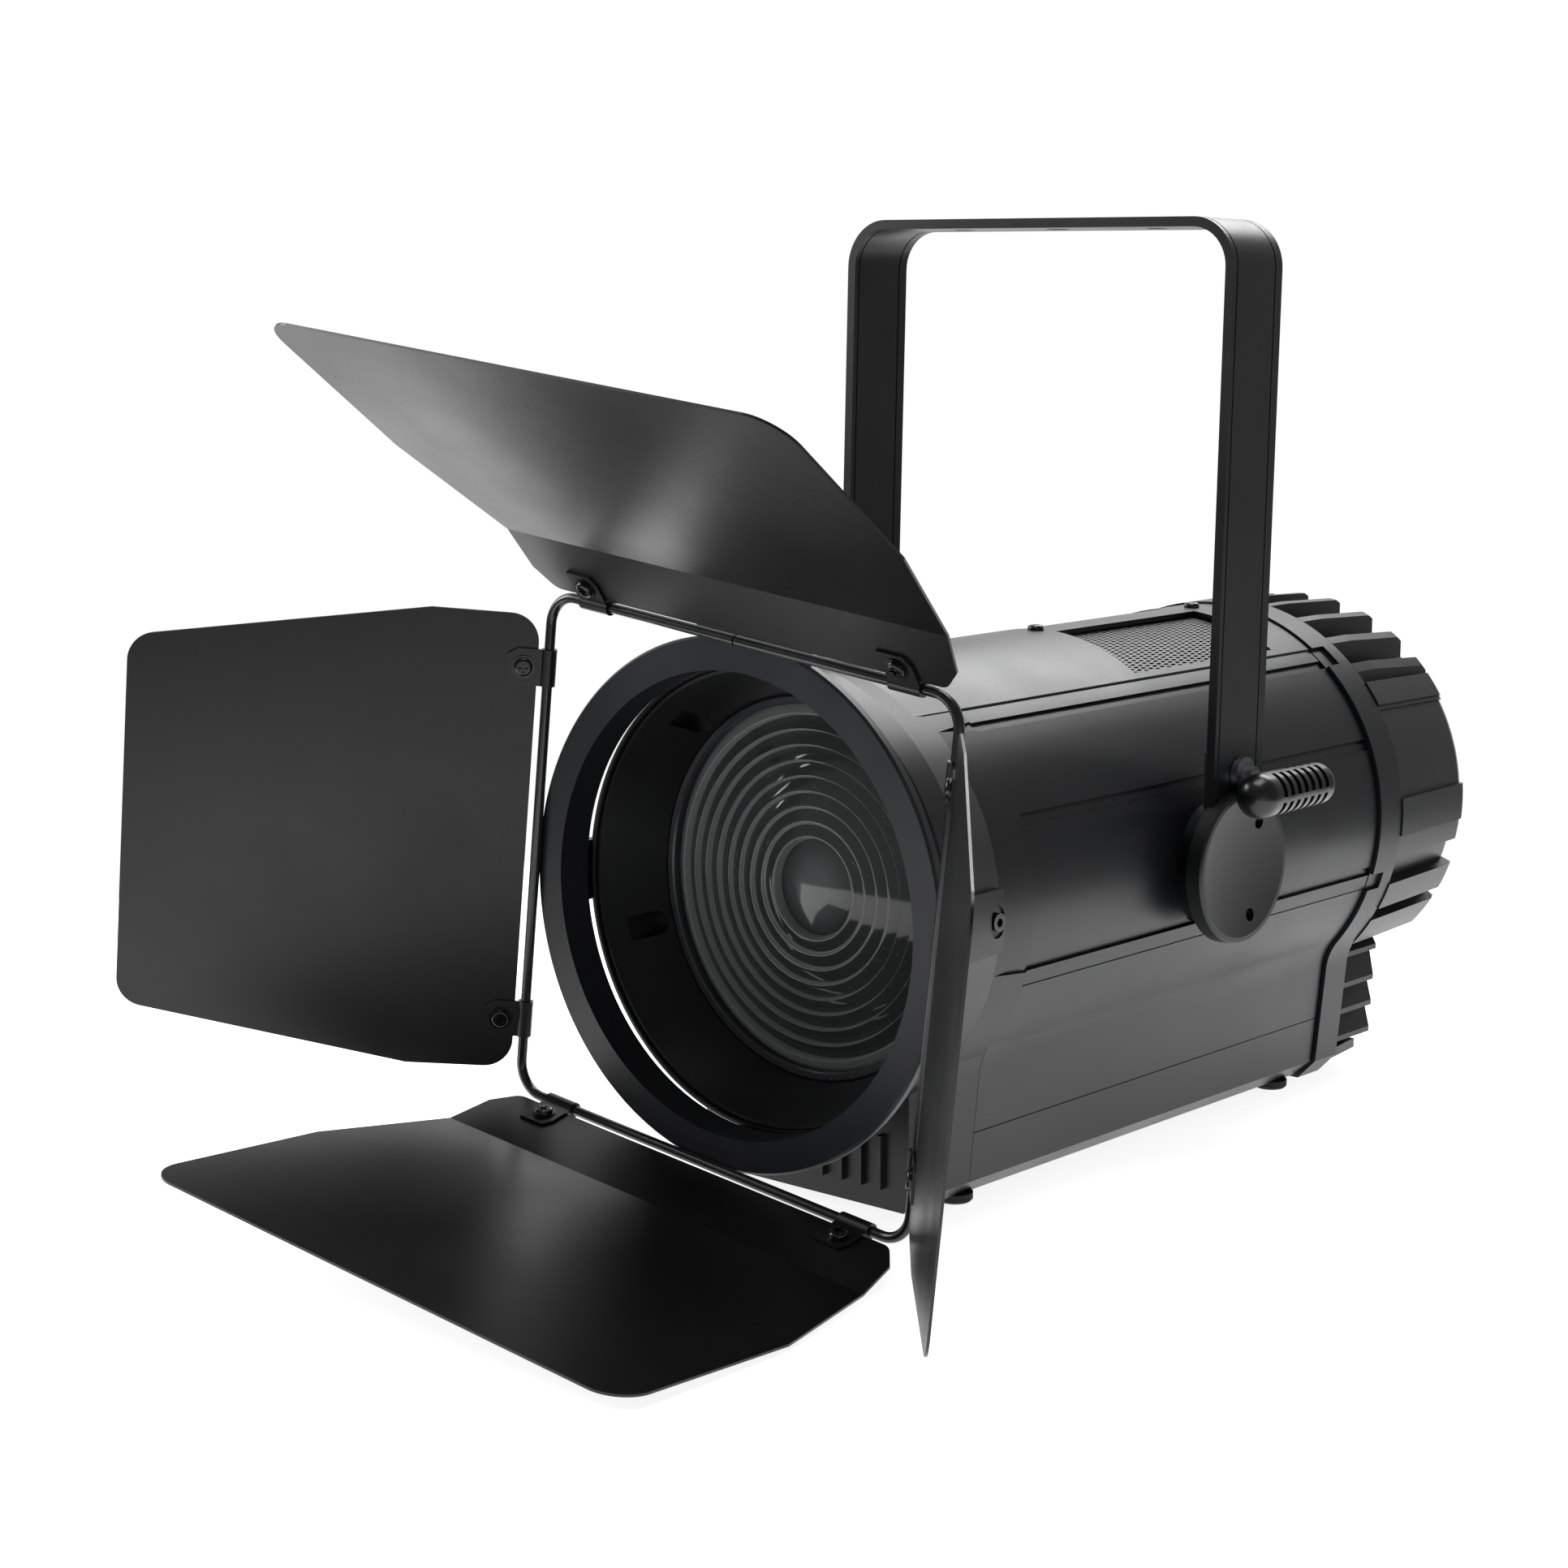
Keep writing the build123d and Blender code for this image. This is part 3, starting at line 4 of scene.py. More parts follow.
import bpy
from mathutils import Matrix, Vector


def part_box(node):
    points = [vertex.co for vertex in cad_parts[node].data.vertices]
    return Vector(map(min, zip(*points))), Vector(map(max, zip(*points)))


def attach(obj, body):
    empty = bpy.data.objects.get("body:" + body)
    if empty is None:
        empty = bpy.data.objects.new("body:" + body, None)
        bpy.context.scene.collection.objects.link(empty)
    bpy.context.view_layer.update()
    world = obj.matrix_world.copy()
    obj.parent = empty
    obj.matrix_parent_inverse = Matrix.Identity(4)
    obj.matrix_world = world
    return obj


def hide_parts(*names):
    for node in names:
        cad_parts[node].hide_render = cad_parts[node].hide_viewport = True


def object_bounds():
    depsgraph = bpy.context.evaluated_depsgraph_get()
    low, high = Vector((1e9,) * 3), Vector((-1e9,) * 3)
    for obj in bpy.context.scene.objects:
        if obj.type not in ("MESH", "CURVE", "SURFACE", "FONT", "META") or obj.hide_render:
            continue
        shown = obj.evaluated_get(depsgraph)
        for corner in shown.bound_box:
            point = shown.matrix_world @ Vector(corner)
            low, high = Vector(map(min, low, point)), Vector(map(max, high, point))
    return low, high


# Studio fresnel spotlight: finishes, fitted small pieces, soft light and camera, in metres.
# The lens looks along -Y, +Z is up, +X is the side with the tilt lever.

MM = 0.001
# edges of the lens zones in millimetres: plain middle, eight near-equal rings, one wider ring
ZONES = [23.3, 30.7, 38.1, 45.5, 52.9, 60.3, 67.7, 75.1, 82.5, 91.0]
EQUAL_ZONES = 8
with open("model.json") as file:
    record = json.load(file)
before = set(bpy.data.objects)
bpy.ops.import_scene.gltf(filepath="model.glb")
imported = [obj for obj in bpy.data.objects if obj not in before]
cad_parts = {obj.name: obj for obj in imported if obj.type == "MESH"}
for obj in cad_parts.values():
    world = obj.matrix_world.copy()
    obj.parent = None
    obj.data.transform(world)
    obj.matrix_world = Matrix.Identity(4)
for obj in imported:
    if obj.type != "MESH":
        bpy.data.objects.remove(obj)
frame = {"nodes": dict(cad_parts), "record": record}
cad_low, cad_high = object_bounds()
nodes = frame["nodes"]
bpy.ops.object.select_all(action="DESELECT")


# ---- small helpers --------------------------------------------------------------------
def linear(hex_code):
    """sRGB hex colour as linear RGBA."""
    parts = [int(hex_code[i:i + 2], 16) / 255 for i in (1, 3, 5)]
    return tuple(c / 12.92 if c <= 0.04045 else ((c + 0.055) / 1.055) ** 2.4 for c in parts) + (1.0,)


def per_mm(size_mm):
    """Texture scale that gives a pattern of this size in millimetres on Object coordinates."""
    return 1000.0 / size_mm


def add_node(tree, kind, inputs=None, **settings):
    """One shader node: settings are its properties, inputs are values or sockets to link."""
    made = tree.nodes.new(kind)
    for key, value in settings.items():
        setattr(made, key, value)
    for key, value in (inputs or {}).items():
        if isinstance(value, bpy.types.NodeSocket):
            tree.links.new(value, made.inputs[key])
        else:
            made.inputs[key].default_value = value
    return made


def start_material(name, roughness, metallic=0.0, ior=1.5):
    """Material with one Principled shader; constant values sit on the shader itself."""
    material = bpy.data.materials.new(name)
    material.use_nodes = True
    tree = material.node_tree
    shader = tree.nodes["Principled BSDF"]
    shader.inputs["Roughness"].default_value = roughness
    shader.inputs["Metallic"].default_value = metallic
    shader.inputs["IOR"].default_value = ior
    place = add_node(tree, "ShaderNodeTexCoord").outputs["Object"]
    return material, tree, shader, place


def noise(tree, place, size_mm, detail=2.0, roughness=0.5):
    """Noise whose features are about size_mm across."""
    settings = {"Vector": place, "Scale": per_mm(size_mm), "Detail": detail, "Roughness": roughness}
    return add_node(tree, "ShaderNodeTexNoise", settings).outputs["Fac"]


def spread(tree, value, low, high, to_low, to_high):
    """Maps value from low..high to to_low..to_high, held at the ends."""
    ends = {"Value": value, "From Min": low, "From Max": high, "To Min": to_low, "To Max": to_high}
    return add_node(tree, "ShaderNodeMapRange", ends).outputs["Result"]


def blend_colour(tree, factor, first, second):
    """Colour mix of two hex colours or sockets."""
    made = add_node(tree, "ShaderNodeMix", {"Factor": factor}, data_type="RGBA")
    # sockets 6 and 7 of the node are its two colours, output 2 is the mixed one
    for index, value in ((6, first), (7, second)):
        if isinstance(value, bpy.types.NodeSocket):
            tree.links.new(value, made.inputs[index])
        else:
            made.inputs[index].default_value = linear(value)
    return made.outputs[2]


def times(tree, first, second):
    """Product of two values."""
    return add_node(tree, "ShaderNodeMath", {0: first, 1: second}, operation="MULTIPLY").outputs[0]


def bump(tree, shader, height, depth_mm):
    """Bump of this real depth on the shader."""
    settings = {"Height": height, "Distance": depth_mm * MM, "Strength": 1.0}
    made = add_node(tree, "ShaderNodeBump", settings)
    tree.links.new(made.outputs["Normal"], shader.inputs["Normal"])


# ---- materials ---------------------------------------------------------------------------
def powder_coat(name, colour, lift, roughness, peel_mm=0.9, peel_depth=0.012, dust=0.0):
    """Polyester powder coat baked on metal: satin, faint orange peel, a little dust, cloudy gloss."""
    material, tree, shader, place = start_material(name, roughness)
    cloud = noise(tree, place, 70, 3)
    fine = noise(tree, place, 1.6, 3, 0.7)
    tone = blend_colour(tree, spread(tree, cloud, 0.35, 0.68, 0, 1), colour, lift)
    if dust:
        # lint and dust specks: few, small, lighter than the coat
        cells = add_node(tree, "ShaderNodeTexVoronoi", {"Vector": place, "Scale": per_mm(9.0)})
        speck = spread(tree, cells.outputs["Distance"], 0.0, 0.045, 1, 0)
        patches = spread(tree, noise(tree, place, 32, 2), 0.5, 0.62, 0, dust)
        tone = blend_colour(tree, times(tree, speck, patches), tone, "#8d8f92")
    tree.links.new(tone, shader.inputs["Base Color"])
    cloudy_gloss = spread(tree, cloud, 0.3, 0.7, roughness - 0.035, roughness + 0.045)
    fine_gloss = spread(tree, fine, 0.3, 0.7, -0.02, 0.03)
    gloss = add_node(tree, "ShaderNodeMath", {0: cloudy_gloss, 1: fine_gloss}, operation="ADD")
    tree.links.new(gloss.outputs[0], shader.inputs["Roughness"])
    bump(tree, shader, noise(tree, place, peel_mm, 3, 0.6), peel_depth)
    return material


def sand_cast(name, colour, lift, roughness, grain_mm, depth_mm):
    """Die casting under a thin coat: fine sand grain from the mould skin."""
    material, tree, shader, place = start_material(name, roughness)
    cloud = noise(tree, place, 45, 3)
    tree.links.new(blend_colour(tree, cloud, colour, lift), shader.inputs["Base Color"])
    grain = noise(tree, place, grain_mm, 4, 0.75)
    gloss = spread(tree, grain, 0.3, 0.7, roughness - 0.06, roughness + 0.06)
    tree.links.new(gloss, shader.inputs["Roughness"])
    bump(tree, shader, grain, depth_mm)
    return material


def gloss_paint(name, colour, lift, roughness):
    """Stove enamel on steel wire and screws: smooth, clear highlight, tiny unevenness."""
    material, tree, shader, place = start_material(name, roughness)
    shader.inputs["Coat Weight"].default_value = 0.25
    shader.inputs["Coat Roughness"].default_value = 0.18
    cloud = noise(tree, place, 18, 3)
    tree.links.new(blend_colour(tree, cloud, colour, lift), shader.inputs["Base Color"])
    gloss = spread(tree, cloud, 0.3, 0.7, roughness - 0.05, roughness + 0.07)
    tree.links.new(gloss, shader.inputs["Roughness"])
    bump(tree, shader, noise(tree, place, 2.2, 2), 0.01)
    return material


def moulded_plastic(name, colour, lift, roughness, grain_mm=0.7, depth_mm=0.012):
    """Glass-filled nylon or ABS, moulded: even colour, fine spark-eroded grain, soft sheen."""
    material, tree, shader, place = start_material(name, roughness, ior=1.53)
    cloud = noise(tree, place, 25, 2)
    tree.links.new(blend_colour(tree, cloud, colour, lift), shader.inputs["Base Color"])
    gloss = spread(tree, cloud, 0.3, 0.7, roughness - 0.05, roughness + 0.05)
    tree.links.new(gloss, shader.inputs["Roughness"])
    bump(tree, shader, noise(tree, place, grain_mm, 3, 0.7), depth_mm)
    return material


def soft_rubber(name, colour, lift):
    """Moulded EPDM rubber: dull, slightly greyed where it is handled or dusty."""
    material, tree, shader, place = start_material(name, 0.75, ior=1.52)
    cloud = noise(tree, place, 8, 4, 0.6)
    tree.links.new(blend_colour(tree, cloud, colour, lift), shader.inputs["Base Color"])
    tree.links.new(spread(tree, cloud, 0.3, 0.7, 0.66, 0.86), shader.inputs["Roughness"])
    bump(tree, shader, noise(tree, place, 0.8, 3), 0.03)
    return material


def bare_metal(name, colour, lift, roughness, along=(1, 1, 1), mark_mm=1.2):
    """Turned, ground or extruded metal: fine marks drawn out along the way it was worked."""
    material, tree, shader, place = start_material(name, roughness, metallic=1.0)
    drawn = add_node(tree, "ShaderNodeMapping", {"Vector": place, "Scale": along})
    marks = noise(tree, drawn.outputs["Vector"], mark_mm, 4, 0.6)
    tree.links.new(blend_colour(tree, marks, colour, lift), shader.inputs["Base Color"])
    gloss = spread(tree, marks, 0.3, 0.7, roughness - 0.08, roughness + 0.1)
    tree.links.new(gloss, shader.inputs["Roughness"])
    bump(tree, shader, marks, 0.01)
    return material


def pressed_glass():
    """Borosilicate glass pressed in a mould: smooth grey zones, frosted risers that are also painted
    lighter as a painted sheen, a painted glare disc in the middle and painted sparkle specks.
    """
    material, tree, shader, place = start_material("pressed_borosilicate", 0.08)
    shader.inputs["Transmission Weight"].default_value = 0.15
    cloud = noise(tree, place, 50, 2)
    body = blend_colour(tree, cloud, "#3b3c3d", "#4c4d4e")
    # distance from the optical axis, counted in zones: the first part of each zone is its frosted
    # riser, which is also painted a pale grey as a painted sheen
    flat = add_node(tree, "ShaderNodeVectorMath", {0: place, 1: (1, 0, 1)}, operation="MULTIPLY")
    length = add_node(tree, "ShaderNodeVectorMath", {0: flat.outputs["Vector"]}, operation="LENGTH")
    radius = length.outputs["Value"]
    zone = spread(tree, radius, ZONES[0] * MM, ZONES[EQUAL_ZONES] * MM, 0, EQUAL_ZONES)
    part = add_node(tree, "ShaderNodeMath", {0: zone}, operation="FRACT").outputs[0]
    riser = times(tree, spread(tree, part, 0.13, 0.2, 1, 0), spread(tree, zone, 0, 0.01, 0, 1))
    body = blend_colour(tree, riser, body, "#989a9a")
    # painted glare: a pale disc painted on the plain middle of the lens stands in for the light source
    # seen through it
    painted_glare_disc = spread(tree, radius, 8 * MM, ZONES[0] * MM, 1, 0)
    body = blend_colour(tree, painted_glare_disc, body, "#707273")
    # painted sparkle: small pale specks in random patches stand in for glints off the pebbled back of
    # the glass
    painted_sparkle_cells = add_node(tree, "ShaderNodeTexVoronoi", {"Vector": place, "Scale": per_mm(2.6)})
    near = spread(tree, painted_sparkle_cells.outputs["Distance"], 0.05, 0.11, 1, 0)
    where = spread(tree, noise(tree, place, 24, 2), 0.5, 0.62, 0, 0.8)
    body = blend_colour(tree, times(tree, near, where), body, "#c4c6c3")
    tree.links.new(body, shader.inputs["Base Color"])
    tree.links.new(spread(tree, riser, 0, 1, 0.07, 0.3), shader.inputs["Roughness"])
    return material


def phosphor():
    """Yellow phosphor over the chips of the light source, with a pale ceramic rim."""
    material, tree, shader, place = start_material("led_phosphor", 0.55)
    cells = add_node(tree, "ShaderNodeTexVoronoi", {"Vector": place, "Scale": per_mm(1.6)})
    tone = blend_colour(tree, cells.outputs["Distance"], "#c9a63a", "#d8c57a")
    tree.links.new(tone, shader.inputs["Base Color"])
    bump(tree, shader, cells.outputs["Distance"], 0.03)
    return material


def board_resin():
    """Epoxy circuit board under solder resist, with a hint of the tracks below it."""
    material, tree, shader, place = start_material("solder_resist", 0.35)
    pattern = {"Vector": place, "Scale": per_mm(9), "Mortar Size": 0.03, "Color1": linear("#0f3b25"),
               "Color2": linear("#124a2e"), "Mortar": linear("#1f6a44")}
    tracks = add_node(tree, "ShaderNodeTexBrick", pattern)
    tree.links.new(tracks.outputs["Color"], shader.inputs["Base Color"])
    bump(tree, shader, tracks.outputs["Fac"], 0.02)
    return material


def smoked_window():
    """Smoked acrylic window: hard gloss with fine hairlines."""
    material, tree, shader, place = start_material("smoked_acrylic", 0.08, ior=1.49)
    drawn = add_node(tree, "ShaderNodeMapping", {"Vector": place, "Scale": (1, 1, 12)})
    hair = noise(tree, drawn.outputs["Vector"], 6, 3)
    tree.links.new(blend_colour(tree, hair, "#06080a", "#0b0f12"), shader.inputs["Base Color"])
    tree.links.new(spread(tree, hair, 0.35, 0.7, 0.05, 0.14), shader.inputs["Roughness"])
    return material


def printed_marks():
    """Silk-screened scale marks: flat off-white ink, a little worn."""
    material, tree, shader, place = start_material("screen_ink", 0.6)
    tone = blend_colour(tree, noise(tree, place, 2, 3), "#a9abac", "#c3c5c6")
    tree.links.new(tone, shader.inputs["Base Color"])
    return material


FINISH = {
    "body_coat": powder_coat("extrusion_powder_coat", "#0c0d10", "#111217", 0.33, dust=0.25),
    "front_coat": powder_coat("front_cover_powder_coat", "#0b0c0e", "#101115", 0.36, dust=0.2),
    "top_coat": powder_coat("top_cover_powder_coat", "#101114", "#15161a", 0.36, dust=0.4),
    "mesh_coat": powder_coat("perforated_sheet_coat", "#1c1d1f", "#232427", 0.38),
    "baffle_coat": powder_coat("inner_baffle_coat", "#19191b", "#1f2022", 0.34),
    "lens_ring_coat": powder_coat("retaining_ring_coat", "#333437", "#3e3f42", 0.22),
    "bracket_coat": powder_coat("bracket_powder_coat", "#0b0c0e", "#101114", 0.36),
    "ring_coat": powder_coat("door_ring_powder_coat", "#1f2024", "#25262a", 0.36, dust=0.2),
    "leaf_coat": powder_coat("leaf_powder_coat", "#030304", "#050506", 0.33,
                             peel_mm=0.7, peel_depth=0.006, dust=0.25),
    "clip_coat": powder_coat("clip_coat", "#090a0b", "#0e0f11", 0.32),
    "yoke_coat": powder_coat("yoke_powder_coat", "#0c0d0f", "#111215", 0.36, dust=0.2),
    "frame_cast": sand_cast("rear_frame_casting", "#0b0c0f", "#101116", 0.38, 1.0, 0.015),
    "fin_cast": sand_cast("finned_casting", "#0a0b0d", "#0f1013", 0.38, 1.0, 0.02),
    "lower_cast": sand_cast("lower_casting", "#0a0b0d", "#0f1012", 0.4, 1.0, 0.02),
    "cap_cast": sand_cast("pivot_cap_grain", "#0a0b0c", "#0f1011", 0.36, 0.8, 0.018),
    "wire_coat": gloss_paint("wire_enamel", "#090a0b", "#0f1012", 0.24),
    "pan_screw": gloss_paint("pan_screw_black", "#0c0d0e", "#141518", 0.22),
    "black_screw": gloss_paint("black_oxide_screw", "#060607", "#0c0d0e", 0.18),
    "panel_coat": powder_coat("panel_coat", "#0a0b0c", "#0f1012", 0.45),
    "lever_plastic": moulded_plastic("lever_nylon", "#08090a", "#0c0d0e", 0.27, 0.8, 0.006),
    "knob_plastic": moulded_plastic("knob_abs", "#0a0b0c", "#101113", 0.42),
    "focus_plastic": moulded_plastic("focus_knob_abs", "#0a0b0c", "#101113", 0.42),
    "socket_plastic": moulded_plastic("socket_nylon", "#090a0a", "#0e0e0f", 0.38),
    "rocker_plastic": moulded_plastic("rocker_abs", "#090a0a", "#101011", 0.25),
    "fan_plastic": moulded_plastic("fan_pbt", "#090a0a", "#0e0e0f", 0.5),
    "washer_pad": moulded_plastic("friction_fibre", "#2a2520", "#3a332b", 0.7, 0.5, 0.05),
    "seal_rubber": soft_rubber("seal_rubber", "#0c0c0c", "#141414"),
    "button_rubber": soft_rubber("button_silicone", "#26282b", "#323438"),
    "foot_rubber": soft_rubber("foot_rubber", "#0b0b0b", "#151515"),
    "hub_alloy": bare_metal("hub_black_anodised", "#1b1c1e", "#232427", 0.42, (1, 6, 6)),
    "zinc_steel": bare_metal("zinc_plated_steel", "#a7abad", "#8f9497", 0.32, (4, 4, 1)),
    "raw_plate": bare_metal("mill_aluminium", "#b3b6b9", "#9b9ea2", 0.4, (6, 1, 1)),
    "ground_rod": bare_metal("ground_steel", "#b9bcbe", "#a3a6a8", 0.2, (1, 8, 1)),
    "brass_bush": bare_metal("turned_brass", "#c9a45a", "#b08a43", 0.3, (1, 6, 1)),
    "mirror_metal": bare_metal("spun_reflector", "#dfe1e2", "#cfd2d4", 0.12, (1, 6, 1)),
    "raw_alloy": bare_metal("extruded_aluminium", "#aeb1b4", "#989b9f", 0.38, (1, 8, 1)),
    "psu_steel": bare_metal("galvanised_sheet", "#9ea3a6", "#888d91", 0.4, (1, 1, 1), 9),
    "socket_metal": bare_metal("nickel_plate", "#a9a8a4", "#93928e", 0.3),
    "lens_glass": pressed_glass(),
    "led_face": phosphor(),
    "board_resin": board_resin(),
    "window_glass": smoked_window(),
}

for part in frame["record"]["subparts"]:
    mesh = nodes[part["node"]].data
    mesh.materials.clear()
    mesh.materials.append(FINISH[part["material_slot"]])


# ---- pieces that are modelled here ---------------------------------------------------------
def settle(piece, name, material, body):
    """Names a finished piece, gives it its finish and lets it ride on a body."""
    piece.name = name
    piece.data.name = name
    bpy.ops.object.select_all(action="DESELECT")
    piece.select_set(True)
    bpy.context.view_layer.objects.active = piece
    bpy.ops.object.transform_apply(location=True, rotation=True, scale=True)
    piece.data.materials.clear()
    piece.data.materials.append(material)
    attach(piece, body)
    piece.select_set(False)
    return piece


def apply_modifier(piece, kind, **settings):
    """Adds one modifier with its settings and applies it."""
    bpy.context.view_layer.objects.active = piece
    made = piece.modifiers.new(kind.lower(), kind)
    for key, value in settings.items():
        setattr(made, key, value)
    bpy.ops.object.modifier_apply(modifier=made.name)


def rounded(piece, angle=35):
    """Smooth shading up to this angle."""
    bpy.ops.object.select_all(action="DESELECT")
    piece.select_set(True)
    bpy.context.view_layer.objects.active = piece
    bpy.ops.object.shade_smooth_by_angle(angle=math.radians(angle))
    piece.select_set(False)


# perforated vent sheets: staggered punched slots, rolled to the cover's radius
SLOT_PITCH = 5.0 * MM      # along the cover
SLOT_LENGTH = 3.5 * MM
ROW_PITCH = 2.3 * MM       # around the cover
ROW_HEIGHT = 1.25 * MM
SHEET_T = 0.8 * MM
SHEET_INSET = 0.5 * MM     # middle of the sheet, below the outside of the CAD sheet
SHEET_ARC = 30.8           # degrees round the cover
RIGHT_SHEET_AT = 55.6      # first edge of each sheet, degrees from +X towards +Z
LEFT_SHEET_AT = 93.6


def vent_sheet(name, start_deg, low_y, high_y, radius):
    """One rolled sheet with staggered slots; start_deg is its first edge."""
    width = math.radians(SHEET_ARC) * radius
    slots = int((high_y - low_y) / SLOT_PITCH)
    rows = int(width / ROW_PITCH) - 1
    bpy.ops.mesh.primitive_grid_add(x_subdivisions=2 * slots, y_subdivisions=2 * rows, size=1.0)
    sheet = bpy.context.object
    mesh = sheet.data
    bpy.ops.object.mode_set(mode="EDIT")
    bpy.ops.mesh.select_mode(type="FACE")
    bpy.ops.mesh.select_all(action="DESELECT")
    bpy.ops.object.mode_set(mode="OBJECT")
    for face in mesh.polygons:
        column = int((face.center.x + 0.5) * 2 * slots)
        row = int((face.center.y + 0.5) * 2 * rows)
        inside = column < 2 * slots - 1 and row < 2 * rows - 1
        face.select = column % 2 == 1 and row % 2 == 1 and inside
    for vertex in mesh.vertices:
        column = round((vertex.co.x + 0.5) * 2 * slots)
        row = round((vertex.co.y + 0.5) * 2 * rows)
        along = ((column + 1) // 2) * SLOT_PITCH - (0 if column % 2 == 0 else SLOT_LENGTH)
        around = ((row + 1) // 2) * ROW_PITCH - (0 if row % 2 == 0 else ROW_HEIGHT)
        around += ROW_PITCH / 2 * (((column + 1) // 2) % 2)
        if column in (0, 2 * slots):
            along = (high_y - low_y) * column / (2 * slots)
        if row in (0, 2 * rows):
            around = width * row / (2 * rows)
        angle = math.radians(start_deg) + around / radius
        vertex.co = (radius * math.cos(angle), low_y + along, radius * math.sin(angle))
    bpy.ops.object.mode_set(mode="EDIT")
    bpy.ops.mesh.delete(type="FACE")
    bpy.ops.object.mode_set(mode="OBJECT")
    apply_modifier(sheet, "SOLIDIFY", thickness=SHEET_T, offset=0)
    bpy.ops.object.mode_set(mode="EDIT")
    bpy.ops.mesh.select_all(action="SELECT")
    bpy.ops.mesh.normals_make_consistent(inside=False)
    bpy.ops.object.mode_set(mode="OBJECT")
    rounded(sheet, 30)
    return settle(sheet, name, FINISH["mesh_coat"], "base")


mesh_low, mesh_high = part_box("vent_mesh")
mesh_radius = math.hypot(mesh_high.x, mesh_low.z) - SHEET_INSET
for label, first in (("right", RIGHT_SHEET_AT), ("left", LEFT_SHEET_AT)):
    screen = vent_sheet("vent_screen_" + label, first, mesh_low.y, mesh_high.y, mesh_radius)
    if label == "right":
        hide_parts("vent_mesh")


# pressed lens: a domed middle and nine stepped zones, each with a softly rounded crest
STEP_CURVE = 130.0         # a larger value makes the steps shallower
DOME_CURVE = 190.0         # the same for the plain middle
DOME_SINK = 2.0            # millimetres from the crests down to the middle of the dome
DOME_POINTS = 12
CREST = ((0.9, 0.5), (1.1, 0.12), (1.4, 0.0))      # rounding: millimetres outwards and down
SLOPE_POINTS = 4
RIM_SINK = 4.8 * MM
BACK_SINK = 0.2 * MM
FRONT_GAP = 0.05 * MM      # keeps the crests just inside the CAD lens
TURN_STEPS = 240
MERGE = 0.000005           # metres: closes the seam and the two ends on the axis


def lens_profile(rim_radius, front_y, back_y):
    """(radius, y) pairs from the centre over the steps to the rim and back to the centre."""
    points = []
    for k in range(DOME_POINTS + 1):
        radius = ZONES[0] * k / DOME_POINTS
        points.append((radius * MM, front_y + DOME_SINK * MM + radius ** 2 / DOME_CURVE * MM))
    crest_end = CREST[-1][0]
    for inner, outer in zip(ZONES, ZONES[1:]):
        fall = (inner + outer) / 2 / STEP_CURVE
        points += [((inner + out) * MM, front_y + down * MM) for out, down in CREST]
        for k in range(1, SLOPE_POINTS + 1):
            along = (outer - inner - crest_end) * k / SLOPE_POINTS
            bulge = 0.8 + 0.05 * k
            points.append(((inner + crest_end + along) * MM, front_y + fall * along * bulge * MM))
    rim = [(rim_radius, front_y + RIM_SINK), (rim_radius, back_y), (rim_radius / 2, back_y)]
    return points + rim + [(0.0, back_y - BACK_SINK)]


def turned(profile, steps):
    """Closed body of revolution about the optical axis, made from a grid rolled round it."""
    bpy.ops.mesh.primitive_grid_add(x_subdivisions=len(profile) - 1, y_subdivisions=steps, size=1.0)
    piece = bpy.context.object
    for vertex in piece.data.vertices:
        radius, y = profile[round((vertex.co.x + 0.5) * (len(profile) - 1))]
        angle = math.tau * (vertex.co.y + 0.5)
        vertex.co = (radius * math.cos(angle), y, radius * math.sin(angle))
    bpy.ops.object.mode_set(mode="EDIT")
    bpy.ops.mesh.select_all(action="SELECT")
    bpy.ops.mesh.remove_doubles(threshold=MERGE)
    bpy.ops.mesh.normals_make_consistent(inside=False)
    bpy.ops.object.mode_set(mode="OBJECT")
    return piece


# printed scale ticks round the dimmer knob and the focus knob
INK = printed_marks()
TICK_T = 0.15 * MM
TICK_WIDTH = 0.7 * MM
TICK_FAN = 270             # degrees from the first tick to the last


def scale_ticks(name, node, gap, count, length):
    """A fan of thin printed ticks on the rear panel, open at the bottom."""
    low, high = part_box(node)
    centre = (low + high) / 2
    reach = (high.x - low.x) / 2 + gap
    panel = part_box("rear_panel")[1].y
    marks = []
    for k in range(count):
        angle = math.radians(-TICK_FAN / 2 + TICK_FAN * k / (count - 1))
        bpy.ops.mesh.primitive_cube_add(size=1.0)
        tick = bpy.context.object
        tick.scale = (TICK_WIDTH, TICK_T, length)
        tick.rotation_euler = (0, angle, 0)
        tick.location = (centre.x + reach * math.sin(angle), panel + TICK_T / 2,
                         centre.z + reach * math.cos(angle))
        marks.append(tick)
    bpy.ops.object.select_all(action="DESELECT")
    for tick in marks:
        tick.select_set(True)
    bpy.context.view_layer.objects.active = marks[0]
    bpy.ops.object.join()
    return settle(bpy.context.object, name, INK, "base")


scale_ticks("dimmer_scale", "dimmer_knob", 4.0 * MM, 11, 3.0 * MM)
scale_ticks("focus_scale", "focus_knob", 4.0 * MM, 7, 4.0 * MM)

lens_low, lens_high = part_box("lens")
glass = turned(lens_profile(lens_high.x, lens_low.y + FRONT_GAP, lens_high.y), TURN_STEPS)
rounded(glass, 40)
settle(glass, "stepped_lens", FINISH["lens_glass"], "base")
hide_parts("lens")


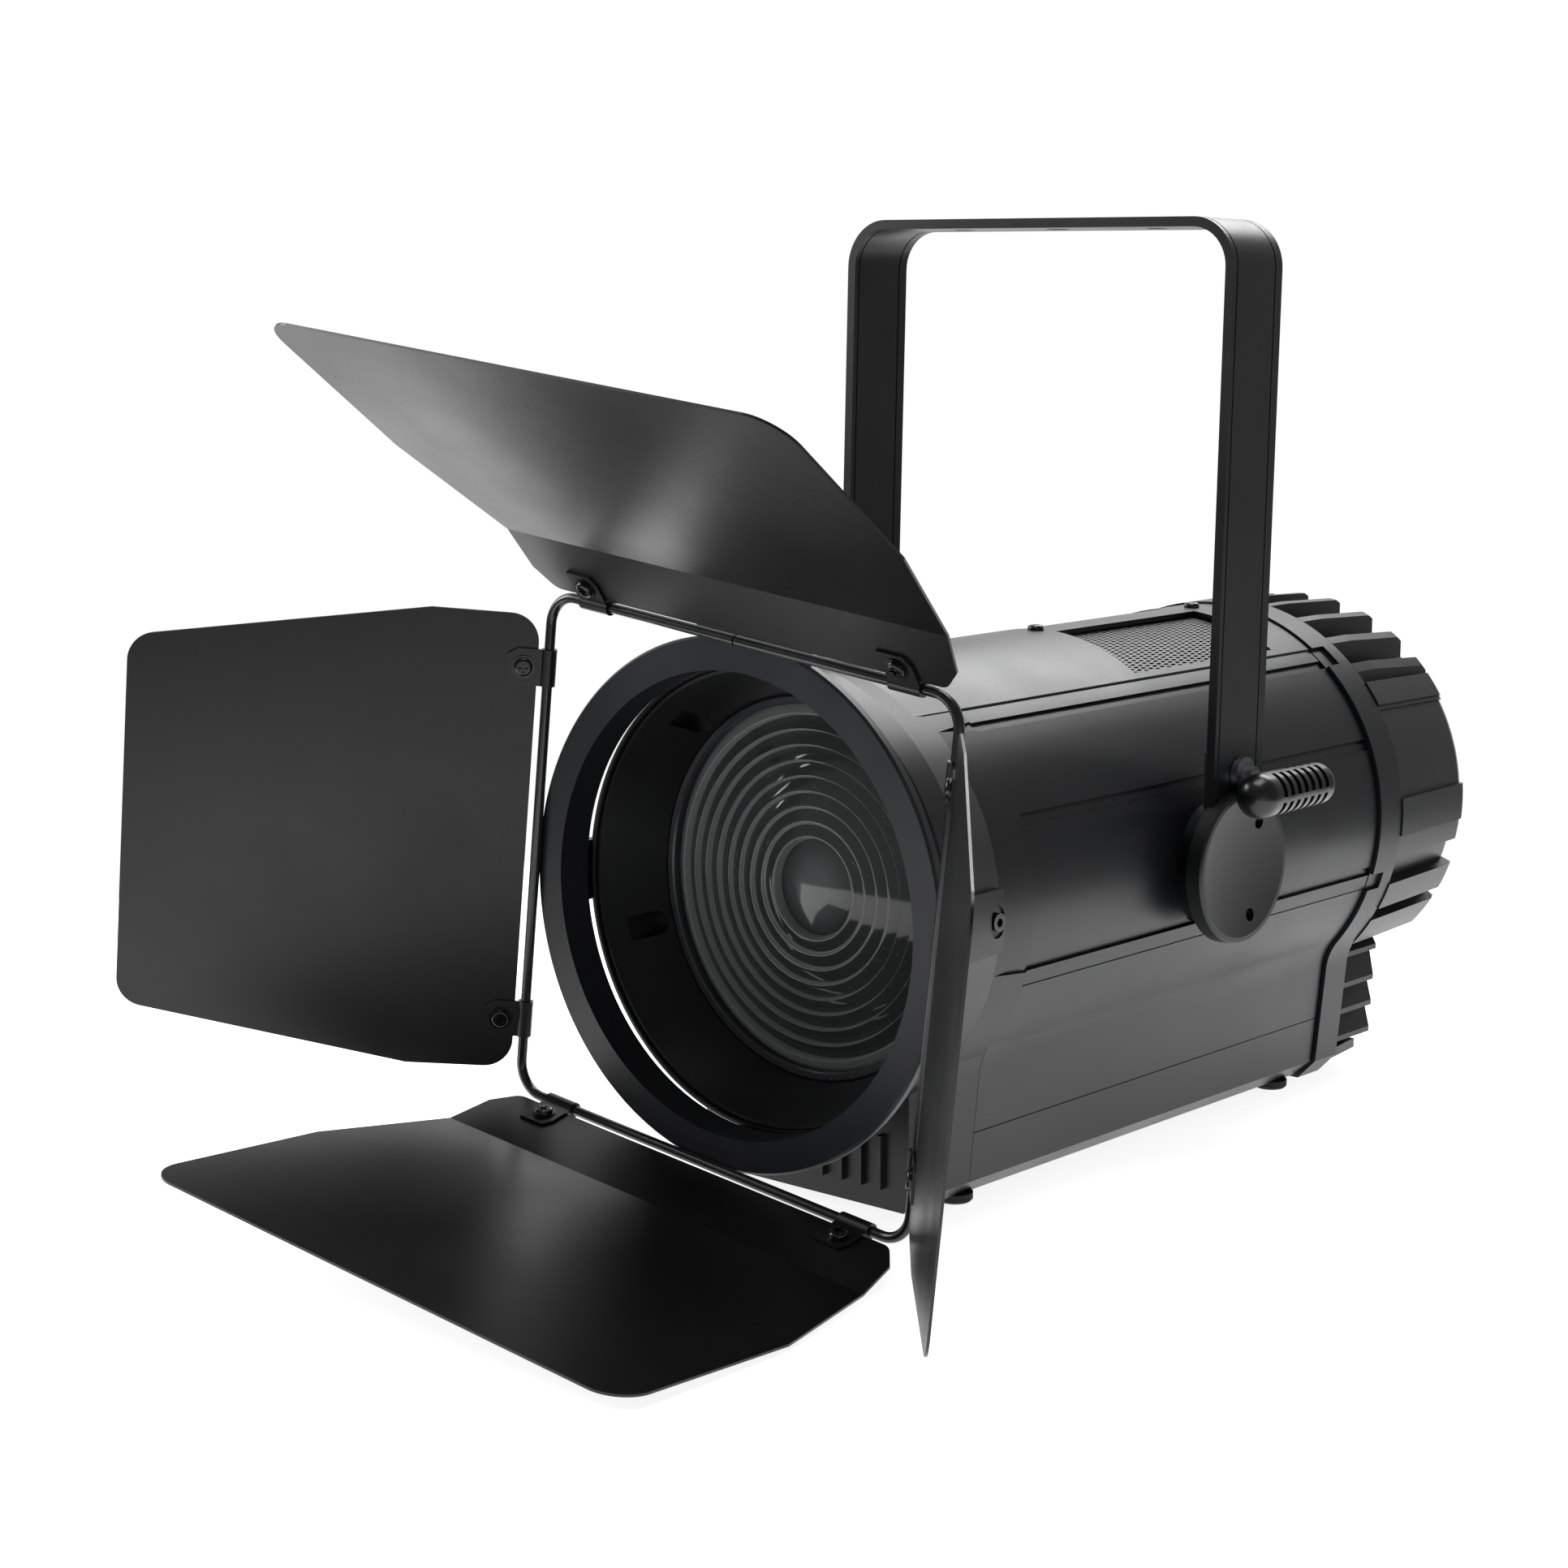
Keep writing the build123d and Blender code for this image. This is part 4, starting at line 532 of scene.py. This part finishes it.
# ---- stage, light and camera -------------------------------------------------------------------
FLOOR_Z = cad_low.z - 0.5 * MM
FLOOR_R = 0.85
FLOOR_SHIFT = 0.1          # the disc lies further back, under the middle of the lamp
FLOOR_GLOW = 0.85          # lifts the paper to white
bpy.ops.mesh.primitive_circle_add(vertices=96, radius=FLOOR_R, fill_type="NGON")
floor = bpy.context.object
floor.name = "studio_floor"
bpy.ops.object.mode_set(mode="EDIT")
bpy.ops.mesh.select_all(action="SELECT")
bpy.ops.transform.translate(value=(0, FLOOR_SHIFT, FLOOR_Z))
bpy.ops.object.mode_set(mode="OBJECT")
paper, tree, shader, place = start_material("white_paper_sweep", 0.9)
paper_tone = blend_colour(tree, noise(tree, place, 400, 2), "#f4f4f4", "#f7f7f7")
tree.links.new(paper_tone, shader.inputs["Base Color"])
shader.inputs["Emission Color"].default_value = linear("#ffffff")
shader.inputs["Emission Strength"].default_value = FLOOR_GLOW
floor.data.materials.append(paper)

CAMERA_AT = Vector((0.9435, -1.0288, 0.2926))
LOOK = Vector((-0.6538, 0.7382, -0.1661))
LENS_MM = 70.8
SENSOR_MM = 36.0
camera_data = bpy.data.cameras.new("camera")
camera_data.lens = LENS_MM
camera_data.sensor_width = SENSOR_MM
camera_data.clip_start = 0.05
camera = bpy.data.objects.new("camera", camera_data)
bpy.context.scene.collection.objects.link(camera)
camera.location = CAMERA_AT
camera.rotation_mode = "QUATERNION"
camera.rotation_quaternion = LOOK.to_track_quat("-Z", "Y")
bpy.context.scene.camera = camera


def softbox(name, at, target, width, height, watts):
    """Rectangular area light aimed at a point."""
    data = bpy.data.lights.new(name, "AREA")
    data.shape = "RECTANGLE"
    data.size, data.size_y = width, height
    data.energy = watts
    lamp = bpy.data.objects.new(name, data)
    bpy.context.scene.collection.objects.link(lamp)
    lamp.location = at
    lamp.rotation_mode = "QUATERNION"
    lamp.rotation_quaternion = (Vector(target) - Vector(at)).to_track_quat("-Z", "Y")


# name, place, aim, width, height and watts
softbox("overhead_softbox", (-0.3, 1.3, 1.15), (0, 0.25, 0.05), 1.0, 0.7, 13)
softbox("top_softbox", (0.1, 0.1, 1.7), (0, 0.1, 0.0), 1.2, 0.9, 14)
softbox("left_softbox", (-1.6, -0.7, 0.9), (-0.1, 0.0, 0.0), 0.8, 1.2, 22)
softbox("low_fill", (1.5, -0.9, -0.05), (0.1, 0.1, -0.05), 1.0, 0.35, 0.6)

# white cove behind the object, dark studio behind the camera
COVE_WAY = (-0.66, 0.74, 0.0)
DARK_LIGHT, COVE_LIGHT = 0.2, 1.02
DARK_END, COVE_START = 0.3, 0.86       # cosines of the angle from the cove's way
world = bpy.data.worlds.new("studio_world")
bpy.context.scene.world = world
world.use_nodes = True
tree = world.node_tree
direction = add_node(tree, "ShaderNodeTexCoord").outputs["Generated"]
facing = add_node(tree, "ShaderNodeVectorMath", {0: direction, 1: COVE_WAY}, operation="DOT_PRODUCT")
light = spread(tree, facing.outputs["Value"], DARK_END, COVE_START, DARK_LIGHT, COVE_LIGHT)
background = tree.nodes["Background"]
background.inputs["Color"].default_value = linear("#ffffff")
tree.links.new(light, background.inputs["Strength"])

bpy.context.scene.view_settings.view_transform = "Standard"
bpy.context.scene.view_settings.look = "None"
